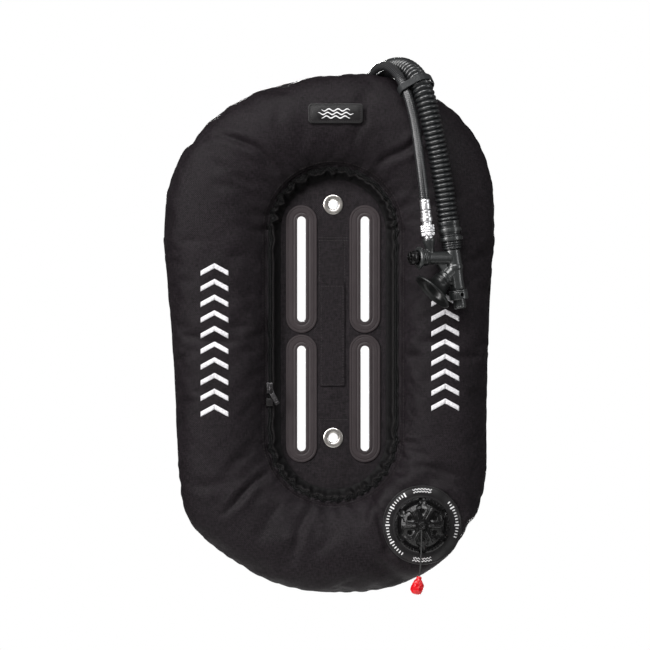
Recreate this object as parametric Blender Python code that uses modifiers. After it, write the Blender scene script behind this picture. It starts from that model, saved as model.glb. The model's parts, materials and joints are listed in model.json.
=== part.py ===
"""Donut-shaped buoyancy wing for diving with one tank.

The wing is a ring-shaped air cell in a fabric shell, with a flat centre panel that is clamped
between a backplate and a tank. A dump valve sits low on the front, and a corrugated hose runs
from an elbow on the back, over the top edge, to the power inflator on the front.

+Z is up (the diver's head), -Y is the side that faces the diver, and +X is to the right when
looking at that side. The origin is midway between the two grommets, on the centre panel's
front reinforcement, where the backplate bears.
"""

import math

import bmesh
import bpy
import numpy as np
from mathutils import Matrix, Vector

MM = 0.001
GAP = 0.3

# Ring-shaped tube. Lengths are in millimetres until a mesh is made.
INNER_RADIUS = 80.0
ARC_HIGH = 107.0
ARC_LOW = -138.0
CREST = 42.0
SHELL = 1.2
SEAM_GAP = 1.0
PLUMP = 2.3
PLUMP_AT_PORT = 8.0
STATIONS_STRAIGHT = 5
STATIONS_ARC = 12
SECTION_STEPS = 8
OUTLINE = (
    (0, 294), (60, 291), (112, 271), (158, 235), (185, 185), (193, 125), (190, 56), (186, -30),
    (184, -120), (182, -195), (163, -247), (120, -294), (62, -319), (0, -324), (-62, -315),
    (-122, -283), (-171, -238), (-185, -180), (-189, -100), (-194, -15), (-200, 56),
    (-203, 115), (-192, 175), (-160, 228), (-108, 266), (-55, 285),
)

# Bladder inside the shell.
BLADDER_CREST = 36.5
BLADDER_MARGIN = 0.06
BLADDER_WALL = 0.8
BLADDER_SECTION = 8

# Zipper round the inner edge, and the gusset between it and the panel.
ZIP_EDGE_DEPTH = 14.0
TAPE_FRONT = -12.8
TAPE_BACK = -12.0
CHAIN_RADIUS = 76.0
CHAIN_HALF = 2.0
CHAIN_HEIGHT = 1.8
SLIDER_Z = -80.0

# Centre panel, its reinforcements and grommets.
PANEL_RADIUS = 69.0
PANEL_FRONT = 1.5
PANEL_THICK = 3.0
PATCH_THICK = 1.2
GROMMET_Z = 139.7
GROMMET_FLANGE = 11.75
GROMMET_BORE = 5.75
GROMMET_BARREL = 7.0
SLOT_X = 38.0
SLOT_Z_UPPER = 62.4
SLOT_Z_LOWER = -92.6
SLOT_SIZE = (10.2, 127.0)
SLOT_PATCH_SIZE = (37.0, 153.0)
CENTRE_PATCH = (-16.5, 14.0, -78.0, 44.0)

# Ports: the dump valve on the front, the hose elbow on the back.
VALVE = (106.0, -243.0)
VALVE_FLAT = (34.0, 38.0)
ELBOW = (2.0, 232.0)
ELBOW_FLAT = (16.0, 22.0)
PATCH_RADIUS = 47.3
PATCH_STEPS = 24
CAP_RADIUS = 33.0
VENT_COUNT = 6
VENT_CIRCLE = 17.0
VENT_RADIUS = 3.0
CORD_X = 104.8
CORD_DEPTH = 23.8
CORD_TOP_Z = -241.5
KNOB_TOP_Z = -303.0
KNOB_X = 102.4
KNOB_LEAN = Vector((0.2, 0.0, 0.98)).normalized()
ELBOW_RISE = 30.0
OUTLET = Vector((0.6, 0.0, 0.8))

# Corrugated hose, from the elbow over the top edge to the inflator.
HOSE_RADIUS = 12.7
HOSE_ROUTE = (
    (20.4, 72, 256.5), (25.2, 72, 262.9), (34, 69.6, 273.5), (45, 61.5, 285),
    (56.5, 46.5, 295.5), (67.5, 25, 302), (78, 3, 303.8), (88, -17.5, 301), (97, -34.5, 293),
    (104, -47, 281.5), (109, -54.8, 267.5), (113, -58.2, 251), (117.2, -59.3, 232.5),
    (121, -59.2, 215), (125, -58.7, 196), (128.5, -58.5, 175), (132, -58.5, 154),
    (134.5, -58.5, 133), (136.5, -58.5, 119.2),
)

# Low-pressure hose, from the inflator over the top edge and down behind the wing.
LP_RADIUS = 5.8
LP_ROUTE = (
    (108.3, -71.7, 145.2), (107.2, -71.4, 156), (104.9, -69.8, 176), (102.2, -66.5, 197),
    (99.4, -62.3, 218), (96.6, -58.8, 237), (93.2, -56.3, 252.5), (89.2, -53.2, 267),
    (84, -48, 280.5), (78, -39.5, 292), (71.2, -28, 300.5), (64, -14.5, 305),
    (57, -0.5, 304.8), (50.8, 13, 300.8), (47, 25, 293.8), (45.8, 35, 283),
    (46.8, 42.7, 269.8), (49, 47.8, 254), (51, 50.6, 237), (52, 51.5, 218), (52, 51.5, 195),
    (52, 51.5, 150), (52, 51.5, 105), (52, 51.5, 60), (52, 51.5, 15), (52, 51.5, -32),
)
BAND_POINT = Vector((104.2, -47.3, 281.2))

# Power inflator. Its stem runs down from the corrugated hose's end.
STEM_TOP = Vector((136.5, -58.5, 119.2))
STEM = Vector((0.139, 0.0, -0.99)).normalized()
SWING = math.radians(25)
BARREL = Vector((-math.cos(SWING), -math.sin(SWING), 0.0))
MOUTH = (BARREL + Vector((0.0, 0.0, -1.0))).normalized()
BARREL_AT = 44.6
MOUTH_AT = 56.0
STEM_RADIUS = 8.6
STEM_END = 83.0
BARREL_RADIUS = 8.0
BARREL_END = 42.0
MOUTH_END = 27.0
FLANGE_HALF = (26.0, 17.0)
LIP_STEPS = 18
NIPPLE_FOOT = Vector((113.2, -72.2, 97.0))
NIPPLE = Vector((-0.1, 0.01, 0.995)).normalized()

ROUND = 16


# Scene, materials and objects.

def clear_scene():
    for obj in list(bpy.data.objects):
        bpy.data.objects.remove(obj, do_unlink=True)


def make_collection(name):
    collection = bpy.data.collections.new(name)
    bpy.context.scene.collection.children.link(collection)
    return collection


def material(name, colour, roughness, metallic=0.0):
    made = bpy.data.materials.new(name)
    made.use_nodes = True
    shader = made.node_tree.nodes["Principled BSDF"]
    shader.inputs["Base Color"].default_value = (*colour, 1.0)
    shader.inputs["Roughness"].default_value = roughness
    shader.inputs["Metallic"].default_value = metallic
    return made


clear_scene()
PARTS = make_collection("buoyancy_wing")
CUTTERS = make_collection("cutters")
CUTTERS.hide_render = True
FABRIC = material("shell_fabric", (0.016, 0.014, 0.015), 0.75)
LINING = material("bladder_film", (0.05, 0.05, 0.055), 0.5)
VINYL = material("patch_vinyl", (0.03, 0.026, 0.025), 0.55)
WEBBING = material("tape_fabric", (0.01, 0.01, 0.01), 0.8)
PLASTIC = material("black_plastic", (0.012, 0.012, 0.013), 0.35)
RUBBER = material("black_rubber", (0.02, 0.02, 0.021), 0.5)
BRAID = material("hose_braid", (0.02, 0.02, 0.022), 0.4)
STEEL = material("bright_steel", (0.7, 0.7, 0.71), 0.25, 1.0)
NICKEL = material("nickel", (0.68, 0.66, 0.62), 0.3, 1.0)
RED = material("red_knob", (0.75, 0.02, 0.03), 0.3)


def add_object(name, data, paint, collection=None):
    obj = bpy.data.objects.new(name, data)
    (collection or PARTS).objects.link(obj)
    if collection is CUTTERS:
        obj.hide_render = True
        obj.display_type = "WIRE"
    if paint:
        data.materials.append(paint.copy())
        data.materials[0].name = name + "_material"
    return obj


def mesh_object(name, bm, paint, collection=None):
    mesh = bpy.data.meshes.new(name)
    bm.to_mesh(mesh)
    bm.free()
    mesh.shade_smooth()
    mesh.set_sharp_from_angle(angle=math.radians(35))
    return add_object(name, mesh, paint, collection)


def aim(obj, place, direction):
    """Put the object's local Z along the direction, with its origin at the place."""
    obj.location = Vector(place) * MM
    obj.rotation_euler = Vector(direction).to_track_quat("Z", "Y").to_euler()


def turned(name, profile, place, direction, paint, steps=ROUND, collection=None):
    """A turned solid. The profile holds (radius, height) pairs, down its outer side first.

    A profile that starts on the axis is open and ends on the axis. Any other is a closed loop.
    """
    bm = bmesh.new()
    points = [bm.verts.new((radius * MM, 0, height * MM)) for radius, height in profile]
    for first, second in zip(points, points[1:]):
        bm.edges.new((first, second))
    if profile[0][0] > 0:
        bm.edges.new((points[-1], points[0]))
    mesh = bpy.data.meshes.new(name)
    bm.to_mesh(mesh)
    bm.free()
    obj = add_object(name, mesh, paint, collection)
    screw = obj.modifiers.new("Turn", "SCREW")
    screw.steps = steps
    screw.render_steps = steps
    screw.use_merge_vertices = True
    screw.merge_threshold = 0.00001
    screw.use_smooth_shade = True
    aim(obj, place, direction)
    return obj


def rod_profile(radius, low, high):
    return ((0, high), (radius, high), (radius, low), (0, low))


def ring_profile(inner, outer, low, high):
    return ((outer, high), (outer, low), (inner, low), (inner, high))


def box(name, size, place, paint, collection=None, bevel=0.0):
    bm = bmesh.new()
    bmesh.ops.create_cube(bm, size=1.0)
    bmesh.ops.scale(bm, vec=Vector(size) * MM, verts=bm.verts)
    obj = mesh_object(name, bm, paint, collection)
    obj.location = Vector(place) * MM
    if bevel:
        rounding = obj.modifiers.new("Rounding", "BEVEL")
        rounding.width = bevel * MM
        rounding.segments = 2
    return obj


def combine(obj, other, operation, solver="EXACT"):
    change = obj.modifiers.new(operation.title() + " " + other.name, "BOOLEAN")
    change.operation = operation
    change.object = other
    change.solver = solver


def cut(obj, *cutters):
    for cutter in cutters:
        combine(obj, cutter, "DIFFERENCE")


def join(obj, *others):
    for other in others:
        combine(obj, other, "UNION")


def hole(name, radius, low, high, place, direction, steps=ROUND):
    return turned(name, rod_profile(radius, low, high), place, direction, None, steps, CUTTERS)


# Curves and outlines.

def smooth_route(points, spacing, closed=False):
    """Points every so many millimetres along a smooth curve through the given ones."""
    given = [np.array(point, float) for point in points]
    if closed:
        given = [given[-1], *given, given[0], given[1]]
    else:
        given = [2 * given[0] - given[1], *given, 2 * given[-1] - given[-2]]
    fine = []
    for before, start, end, after in zip(given, given[1:], given[2:], given[3:]):
        knots = [0.0]
        for first, second in ((before, start), (start, end), (end, after)):
            knots.append(knots[-1] + math.sqrt(np.linalg.norm(second - first)))
        for knot in np.linspace(knots[1], knots[2], 24, endpoint=False):
            level = [before, start, end, after]
            for depth in (1, 2, 3):
                level = [
                    blend_points(level[i], level[i + 1], knots, i, depth, knot)
                    for i in range(len(level) - 1)
                ]
            fine.append(level[0])
    fine.append(fine[0] if closed else given[-2])
    fine = np.array(fine)
    along = np.concatenate([[0], np.cumsum(np.linalg.norm(np.diff(fine, axis=0), axis=1))])
    count = max(2, round(along[-1] / spacing))
    wanted = np.linspace(0, along[-1], count + 1)
    if closed:
        wanted = wanted[:-1]
    return np.array([np.interp(wanted, along, axis) for axis in fine.T]).T


def blend_points(first, second, knots, index, depth, knot):
    """One step of the centripetal Catmull-Rom pyramid."""
    if depth == 2:
        low, high = (0, 2) if index == 0 else (1, 3)
    elif depth == 1:
        low, high = index, index + 1
    else:
        low, high = 1, 2
    share = (knot - knots[low]) / (knots[high] - knots[low])
    return first * (1 - share) + second * share


def tube(name, points, radius, resolution, paint):
    """A round bar along the points."""
    curve = bpy.data.curves.new(name, "CURVE")
    curve.dimensions = "3D"
    spline = curve.splines.new("POLY")
    spline.points.add(len(points) - 1)
    for point, place in zip(spline.points, points):
        point.co = (*(Vector(place) * MM), 1.0)
    curve.bevel_depth = radius * MM
    curve.bevel_resolution = resolution
    curve.use_fill_caps = True
    return add_object(name, curve, paint)


def coil(name, radius, wire, turns, low, high, place, direction, paint):
    """A compression spring between two heights along its axis."""
    steps = 6
    count = int(turns * steps)
    points = []
    for step in range(count + 1):
        angle = 2 * math.pi * step / steps
        height = low + wire + (high - low - 2 * wire) * step / count
        points.append((radius * math.cos(angle), radius * math.sin(angle), height))
    spring = tube(name, points, wire, 0, paint)
    aim(spring, place, direction)
    return spring


def stadium(size, centre=(0.0, 0.0), steps=6):
    """A slot's outline, with its round ends at the top and bottom."""
    half_width = size[0] / 2
    half_straight = size[1] / 2 - half_width
    points = []
    for end, turn in ((half_straight, 0.0), (-half_straight, math.pi)):
        for step in range(steps + 1):
            angle = turn + math.pi * step / steps
            across = centre[0] + half_width * math.cos(angle)
            points.append((across, centre[1] + end + half_width * math.sin(angle)))
    return points


def circle(radius, centre, steps=12):
    angles = [2 * math.pi * step / steps for step in range(steps)]
    return [
        (centre[0] + radius * math.cos(angle), centre[1] + radius * math.sin(angle))
        for angle in angles
    ]


def rounded_rectangle(low, high, corner, steps=3):
    points = []
    corners = (
        (high[0] - corner, high[1] - corner, 0.0),
        (low[0] + corner, high[1] - corner, 0.5 * math.pi),
        (low[0] + corner, low[1] + corner, math.pi),
        (high[0] - corner, low[1] + corner, 1.5 * math.pi),
    )
    for across, up, turn in corners:
        for step in range(steps + 1):
            angle = turn + 0.5 * math.pi * step / steps
            points.append((across + corner * math.cos(angle), up + corner * math.sin(angle)))
    return points


def flat_piece(name, outlines, front, thick, paint):
    """A plate in the XZ plane. The first outline is its edge, and any others are holes."""
    curve = bpy.data.curves.new(name, "CURVE")
    curve.dimensions = "2D"
    curve.fill_mode = "BOTH"
    for outline in outlines:
        spline = curve.splines.new("POLY")
        spline.points.add(len(outline) - 1)
        for point, (across, up) in zip(spline.points, outline):
            point.co = (across * MM, up * MM, 0.0, 1.0)
        spline.use_cyclic_u = True
    curve.extrude = thick * MM / 2
    obj = add_object(name, curve, paint)
    obj.location = (0.0, (front + thick / 2) * MM, 0.0)
    obj.rotation_euler = (math.pi / 2, 0.0, 0.0)
    return obj


# The tube's shape.

EDGE = smooth_route(OUTLINE, 12.0, closed=True)


def outer_radius(height, direction):
    """How far the outline is from a point on the tube's spine line, along a direction."""
    start = EDGE - np.array((0.0, height))
    side = np.roll(start, -1, axis=0) - start
    cross = direction[0] * side[:, 1] - direction[1] * side[:, 0]
    cross[np.abs(cross) < 1e-9] = 1e-9
    along = (start[:, 0] * side[:, 1] - start[:, 1] * side[:, 0]) / cross
    share = (start[:, 0] * direction[1] - start[:, 1] * direction[0]) / cross
    return float(along[(share >= 0) & (share < 1) & (along > 0)].max())


def stations():
    """(height of the arc's centre, angle) of each section round the ring, anticlockwise."""
    found = []
    straight = np.linspace(ARC_LOW, ARC_HIGH, STATIONS_STRAIGHT, endpoint=False)
    turn = np.linspace(0, math.pi, STATIONS_ARC, endpoint=False)
    found += [(height, 0.0) for height in straight]
    found += [(ARC_HIGH, angle) for angle in turn]
    found += [(ARC_HIGH + ARC_LOW - height, math.pi) for height in straight]
    found += [(ARC_LOW, math.pi + angle) for angle in turn]
    return found


def smoothstep(value):
    value = min(max(value, 0.0), 1.0)
    return value * value * (3 - 2 * value)


def plumpness(across, up, side):
    """The section's exponent: round far from the side's port, and boxy where the port sits."""
    port, (flat, blend) = (VALVE, VALVE_FLAT) if side < 0 else (ELBOW, ELBOW_FLAT)
    away = math.hypot(across - port[0], up - port[1])
    near = 1 - smoothstep((away - flat) / blend)
    return PLUMP + (PLUMP_AT_PORT - PLUMP) * near


def bulge(share, edge_depth, crest, power):
    """Depth of the tube's skin at a share of its width, from its inner edge to its seam."""
    inner = share < 0.5
    base = edge_depth if inner else 0.0
    along = abs(2 * share - 1)
    return base + (crest - base) * (1 - along**power) ** (1 / power)


def front_depth(across, up):
    """How far the front skin stands out from the middle plane at a point of the ring."""
    height = min(max(up, ARC_LOW), ARC_HIGH)
    reach = math.hypot(across, up - height)
    outer = outer_radius(height, (across / reach, (up - height) / reach))
    share = min(max((reach - INNER_RADIUS) / (outer - INNER_RADIUS), 0.0), 1.0)
    return bulge(share, ZIP_EDGE_DEPTH, CREST, plumpness(across, up, -1))


def grid(rows, closed_rows=True):
    """A sheet of quads through rows of points. Each row joins the next, and the last the first."""
    bm = bmesh.new()
    made = [[bm.verts.new(Vector(point) * MM) for point in row] for row in rows]
    for this, following in zip(made, made[1:] + made[:1]):
        ends = list(zip(this, following))
        pairs = list(zip(ends, ends[1:] + ends[:1])) if closed_rows else zip(ends, ends[1:])
        for (first, second), (third, fourth) in pairs:
            bm.faces.new((first, third, fourth, second))
    bmesh.ops.recalc_face_normals(bm, faces=bm.faces)
    return bm


def skin(name, side, lead_in, paint):
    """Half of the shell: from the inner edge, over the crest, to the outer seam."""
    rows = []
    for height, angle in stations():
        direction = (math.cos(angle), math.sin(angle))
        outer = outer_radius(height, direction)
        row = [(reach, depth) for reach, depth in lead_in]
        for step in range(SECTION_STEPS + 1):
            share = (1 - math.cos(math.pi * step / SECTION_STEPS)) / 2
            reach = INNER_RADIUS + share * (outer - INNER_RADIUS)
            across, up = direction[0] * reach, height + direction[1] * reach
            power = plumpness(across, up, side)
            depth = bulge(share, ZIP_EDGE_DEPTH, CREST, power)
            row.append((reach, max(depth, SEAM_GAP / 2)))
        rows.append([
            (direction[0] * reach, side * depth, height + direction[1] * reach)
            for reach, depth in row
        ])
    bm = grid(rows, closed_rows=False)
    if side * sum(face.normal.y * face.calc_area() for face in bm.faces) < 0:
        bmesh.ops.reverse_faces(bm, faces=bm.faces)
    obj = mesh_object(name, bm, paint)
    thickness = obj.modifiers.new("Thickness", "SOLIDIFY")
    thickness.thickness = SHELL * MM
    thickness.offset = -1.0
    return obj


def ring_strip(name, section, paint):
    """A closed ring of constant section round the panel. The section holds (reach, y) pairs."""
    rows = []
    for height, angle in stations():
        rows.append([
            (math.cos(angle) * reach, depth, height + math.sin(angle) * reach)
            for reach, depth in section
        ])
    return mesh_object(name, grid(rows), paint)


# Fabric parts.

def make_shells():
    front = skin("shell_front", -1, (), FABRIC)
    back_edge = ((PANEL_RADIUS + 0.7, 6.2), (75.0, 8.6))
    back = skin("shell_back", 1, back_edge, FABRIC)
    valve_place = (VALVE[0], -CREST, VALVE[1])
    elbow_place = (ELBOW[0], CREST, ELBOW[1])
    cut(front, hole("valve_hole", 24.2, -8, 8, valve_place, (0, -1, 0), 24))
    cut(back, hole("elbow_hole", 14.6, -8, 8, elbow_place, (0, 1, 0)))


def make_bladder():
    rows = []
    for height, angle in stations():
        direction = (math.cos(angle), math.sin(angle))
        outer = outer_radius(height, direction)
        row = []
        for step in range(BLADDER_SECTION):
            turn = 2 * math.pi * (step + 0.5) / BLADDER_SECTION
            share = 0.5 - (0.5 - BLADDER_MARGIN) * math.cos(turn)
            reach = INNER_RADIUS + share * (outer - INNER_RADIUS)
            across, up = direction[0] * reach, height + direction[1] * reach
            side = -1 if math.sin(turn) > 0 else 1
            power = plumpness(across, up, side)
            depth = BLADDER_CREST * (1 - abs(math.cos(turn)) ** power) ** (1 / power)
            row.append((across, side * depth, up))
        rows.append(row)
    bladder = mesh_object("bladder", grid(rows), LINING)
    wall = bladder.modifiers.new("Wall", "SOLIDIFY")
    wall.thickness = BLADDER_WALL * MM
    wall.offset = -1.0
    valve_place = (VALVE[0], -CREST, VALVE[1])
    elbow_place = (ELBOW[0], CREST, ELBOW[1])
    cut(
        bladder,
        hole("bladder_valve_port", 18.5, -20, 5, valve_place, (0, -1, 0)),
        hole("bladder_elbow_port", 10.0, -20, 5, elbow_place, (0, 1, 0), 16),
    )


def make_panel():
    holes = [circle(GROMMET_BARREL + 0.6, (0.0, side * GROMMET_Z)) for side in (1, -1)]
    opening = (SLOT_SIZE[0] + 1.0, SLOT_SIZE[1] + 1.0)
    for across in (-SLOT_X, SLOT_X):
        for up in (SLOT_Z_UPPER, SLOT_Z_LOWER):
            holes.append(stadium(opening, (across, up), 4))
    middle = (ARC_HIGH + ARC_LOW) / 2
    size = (2 * PANEL_RADIUS, ARC_HIGH - ARC_LOW + 2 * PANEL_RADIUS)
    edge = stadium(size, (0.0, middle), 12)
    flat_piece("centre_panel", [edge, *holes], PANEL_FRONT, PANEL_THICK, FABRIC)


def make_patches():
    back = PANEL_FRONT + PANEL_THICK + GAP
    fronts = (("front", 0.0), ("back", back))
    for face, start in fronts:
        for level, up in (("upper", SLOT_Z_UPPER), ("lower", SLOT_Z_LOWER)):
            for side, across in (("left", -SLOT_X), ("right", SLOT_X)):
                outlines = [
                    stadium(SLOT_PATCH_SIZE, (across, up)),
                    stadium(SLOT_SIZE, (across, up), 4),
                ]
                name = f"slot_patch_{face}_{level}_{side}"
                flat_piece(name, outlines, start, PATCH_THICK, VINYL)
        left, right, low, high = CENTRE_PATCH
        edge = rounded_rectangle((left, low), (right, high), 2.0)
        flat_piece(f"centre_patch_{face}", [edge], start, PATCH_THICK, VINYL)


def make_grommets():
    face = PANEL_FRONT - GAP
    rear = PANEL_FRONT + PANEL_THICK
    for name, up in (("upper", GROMMET_Z), ("lower", -GROMMET_Z)):
        eyelet = (
            (GROMMET_FLANGE, -face + 1.1), (GROMMET_FLANGE, -face),
            (GROMMET_BARREL, -face), (GROMMET_BARREL, -rear - 1.6),
            (GROMMET_BORE, -rear - 1.6), (GROMMET_BORE, -face + 1.1),
        )
        turned(f"grommet_{name}", eyelet, (0, 0, up), (0, -1, 0), NICKEL)
        washer = ring_profile(GROMMET_BARREL + GAP, GROMMET_FLANGE, -rear - 1.5, -rear - 0.3)
        turned(f"grommet_washer_{name}", washer, (0, 0, up), (0, -1, 0), NICKEL)


def make_zipper():
    tape = ((70.2, TAPE_FRONT), (79.3, TAPE_FRONT), (79.3, TAPE_BACK), (70.2, TAPE_BACK))
    ring_strip("zipper_tape", tape, WEBBING)
    top = TAPE_FRONT - GAP
    low, high = CHAIN_RADIUS - CHAIN_HALF, CHAIN_RADIUS + CHAIN_HALF
    chain = ((low, top - CHAIN_HEIGHT), (high, top - CHAIN_HEIGHT), (high, top), (low, top))
    ring_strip("zipper_chain", chain, WEBBING)
    foot = PANEL_FRONT - 0.4
    wall = ((71.5, TAPE_BACK + GAP), (70.3, TAPE_BACK + GAP), (63.0, foot), (66.0, foot))
    ring_strip("gusset", wall, WEBBING)
    box("zipper_garage", (7.0, 1.0, 8.0), (-CHAIN_RADIUS, -15.8, -97.0), VINYL)


def make_slider():
    place = (-CHAIN_RADIUS, -15.15, SLIDER_Z)
    slider = box("zipper_slider", (7.4, 3.7, 13.0), place, NICKEL)
    groove = box("slider_groove", (4.8, 4.0, 15.0), (place[0], -13.25, SLIDER_Z), None, CUTTERS)
    bail = box("slider_bail", (1.4, 3.8, 5.0), (place[0], -18.6, SLIDER_Z - 1.0), None, CUTTERS)
    window = hole("bail_window", 1.4, -3, 3, (place[0], -18.5, SLIDER_Z - 1.0), (1, 0, 0), 12)
    join(slider, bail)
    cut(slider, groove, window)


def make_pull():
    """The pull tab hangs from the bail, down and to the right.

    Its boxes are turned so that their local X lies along the world's Y, and their Z points up.
    """
    down = Vector((0.47, 0.0, -0.883))
    across = Vector((0.883, 0.0, 0.47))
    eye = Vector((-CHAIN_RADIUS, -18.5, SLIDER_Z - 1.0))
    bm = bmesh.new()
    bmesh.ops.create_cube(bm, size=1.0)
    bmesh.ops.scale(bm, vec=Vector((1.2, 5.8, 18.0)) * MM, verts=bm.verts)
    pull = mesh_object("zipper_pull", bm, NICKEL)
    pull.location = (eye + down * 12.5) * MM
    pull.rotation_euler = (-down).to_track_quat("Z", "Y").to_euler()
    pin = hole("pull_pin", 0.9, -3.3, 3.3, eye, across, 10)
    arms = []
    for name, side in (("pull_arm_left", -2.9), ("pull_arm_right", 2.9)):
        arm = box(name, (1.6, 1.1, 5.2), (0, 0, 0), None, CUTTERS)
        arm.location = (eye + across * side + down * 1.7) * MM
        arm.rotation_euler = (-down).to_track_quat("Z", "Y").to_euler()
        arms.append(arm)
    join(pull, *arms, pin)


def make_label():
    edge = rounded_rectangle((-29.5, 235.7), (35.5, 259.2), 4.0)
    flat_piece("label_patch", [edge], -CREST - 1.8, 1.2, VINYL)


# Dump valve. Heights run out from the front skin.

def make_valve_patch():
    rows = []
    for step in range(PATCH_STEPS):
        angle = 2 * math.pi * step / PATCH_STEPS
        row = []
        for reach in (24.8, 34.0, 41.0, PATCH_RADIUS):
            across = VALVE[0] + reach * math.cos(angle)
            up = VALVE[1] + reach * math.sin(angle)
            row.append((across, -front_depth(across, up) - 2.7, up))
        rows.append(row)
    bm = grid(rows, closed_rows=False)
    if sum(face.normal.y for face in bm.faces) > 0:
        bmesh.ops.reverse_faces(bm, faces=bm.faces)
    patch = mesh_object("valve_patch", bm, VINYL)
    thickness = patch.modifiers.new("Thickness", "SOLIDIFY")
    thickness.thickness = 1.0 * MM
    thickness.offset = 1.0


def make_valve():
    place = (VALVE[0], -CREST, VALVE[1])
    out = (0, -1, 0)
    base = (
        (23.5, 4.0), (23.5, -3.2), (28.0, -3.2), (28.0, -4.7), (19.0, -4.7), (19.0, 4.0),
    )
    turned("valve_base", base, place, out, PLASTIC)
    turned("valve_gasket", ring_profile(19.5, 23.0, 4.3, 5.6), place, out, RUBBER)
    cap_profile = (
        (0, 27.0), (5.5, 27.0), (6.5, 26.0), (6.5, 20.3), (14.0, 19.6), (20.0, 18.2),
        (26.0, 15.6), (28.0, 13.4), (32.0, 12.4), (CAP_RADIUS, 11.0), (CAP_RADIUS, 4.0),
        (30.6, 4.0), (30.6, 9.8), (26.0, 12.6), (19.0, 15.2), (10.0, 16.5), (5.5, 16.5),
        (5.5, 13.5), (2.8, 13.5), (2.8, 21.0), (0, 21.0),
    )
    cap = turned("valve_cap", cap_profile, place, out, PLASTIC, 20)
    for number in range(VENT_COUNT):
        angle = math.pi / VENT_COUNT + 2 * math.pi * number / VENT_COUNT
        across = VALVE[0] + VENT_CIRCLE * math.cos(angle)
        up = VALVE[1] + VENT_CIRCLE * math.sin(angle)
        vent = hole(f"vent_{number}", VENT_RADIUS, 10, 24, (across, -CREST, up), out, 8)
        cut(cap, vent)
    bore_place = (CORD_X, -CREST - CORD_DEPTH, VALVE[1])
    cut(cap, hole("cord_bore", 1.6, -12, 2.5, bore_place, (0, 0, 1), 10))
    poppet = ((0, 15.8), (2.2, 15.8), (2.2, 7.4), (21.8, 7.4), (21.8, 5.9), (0, 5.9))
    turned("valve_poppet", poppet, place, out, PLASTIC)
    coil("valve_spring", 8.0, 0.5, 3.5, 7.7, 16.2, place, out, STEEL)


def make_pull_cord():
    depth = -CREST - CORD_DEPTH
    points = []
    for up in np.linspace(CORD_TOP_Z, KNOB_TOP_Z, 16):
        lean = ((CORD_TOP_Z - up) / (CORD_TOP_Z - KNOB_TOP_Z)) ** 3
        points.append((CORD_X + (KNOB_X - CORD_X) * lean, depth, up))
    tube("pull_cord", points, 1.0, 2, BRAID)
    pear = (
        (0, 0), (2.4, 0), (3.4, -1.2), (5.0, -5.0), (7.3, -10.5), (7.75, -14.0),
        (7.2, -18.5), (5.0, -21.2), (0, -21.8),
    )
    top = Vector((KNOB_X, depth, KNOB_TOP_Z)) - KNOB_LEAN * 2 * GAP
    turned("pull_knob", pear, top, KNOB_LEAN, RED, 10)


# Hoses and the elbow.

def make_elbow():
    place = (ELBOW[0], CREST, ELBOW[1])
    out = (0, 1, 0)
    flange = (
        (13.8, 2.5), (13.8, -3.2), (18.0, -3.2), (18.0, -4.7), (10.5, -4.7), (10.5, 2.5),
    )
    turned("elbow_flange", flange, place, out, PLASTIC)
    turned("elbow_gasket", ring_profile(10.8, 13.8, 2.8, 4.0), place, out, RUBBER)
    nut = (
        (22.0, 9.4), (22.0, 1.6), (19.4, 1.6), (19.4, 7.8), (15.2, 7.8), (15.2, 9.4),
    )
    turned("elbow_nut", nut, place, out, PLASTIC)
    stub = (
        (0, 41.5), (6.0, 41.0), (10.5, 38.0), (13.0, 33.0), (13.5, 28.0), (13.8, 12.0),
        (14.6, 7.5), (19.0, 7.5), (19.0, 4.3), (0, 4.3),
    )
    body = turned("elbow_body", stub, place, out, PLASTIC)
    centre = Vector((ELBOW[0], CREST + ELBOW_RISE, ELBOW[1]))
    arm = ((0, 27.5), (8.0, 27.5), (8.4, 26.5), (8.4, 14.0), (11.5, 14.0), (11.5, 0), (0, 0))
    join(body, turned("elbow_arm", arm, centre, OUTLET, None, ROUND, CUTTERS))
    cut(
        body,
        hole("elbow_bore", 7.0, 2, ELBOW_RISE + 4, place, out, 14),
        hole("elbow_outlet", 6.0, -1, 30, centre, OUTLET, 14),
    )
    cuff = ((13.4, 29.6), (13.0, 14.4), (8.8, 14.4), (8.8, 29.6))
    turned("elbow_cuff", cuff, centre, OUTLET, RUBBER)
    make_tie("elbow_tie", centre + OUTLET * 21.5, OUTLET, 13.8)


def make_tie(name, place, direction, inner):
    """A cable tie with its lock turned half to the side and half to the back."""
    strap = ring_profile(inner, inner + 1.3, -2.2, 2.2)
    tie = turned(name, strap, place, direction, PLASTIC, 18)
    along = Vector(direction).normalized()
    back = Vector((0, 1, 0))
    side = (along.cross(back).normalized() + back).normalized()
    lock = box(name + "_lock", (5.0, 4.4, 5.2), (0, 0, 0), None, CUTTERS)
    lock.location = (Vector(place) + side * (inner + 2.6)) * MM
    lock.rotation_euler = Matrix((side, along.cross(side), along)).transposed().to_euler()
    join(tie, lock)


def make_hoses():
    tube("corrugated_hose", smooth_route(HOSE_ROUTE, 14.0), HOSE_RADIUS, 3, RUBBER)
    tube("lp_hose", smooth_route(LP_ROUTE, 15.0), LP_RADIUS, 2, BRAID)
    end = Vector(LP_ROUTE[-1])
    ferrule = ((0, -0.3), (6.1, -0.3), (6.1, -13.0), (5.2, -14.0), (0, -14.0))
    turned("lp_ferrule_rear", ferrule, end, (0, 0, 1), STEEL)
    stud = ((0, -14.3), (7.6, -14.3), (7.6, -22.0), (4.7, -22.0), (4.7, -31.0), (0, -31.0))
    turned("first_stage_fitting", stud, end, (0, 0, 1), STEEL, 12)


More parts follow.
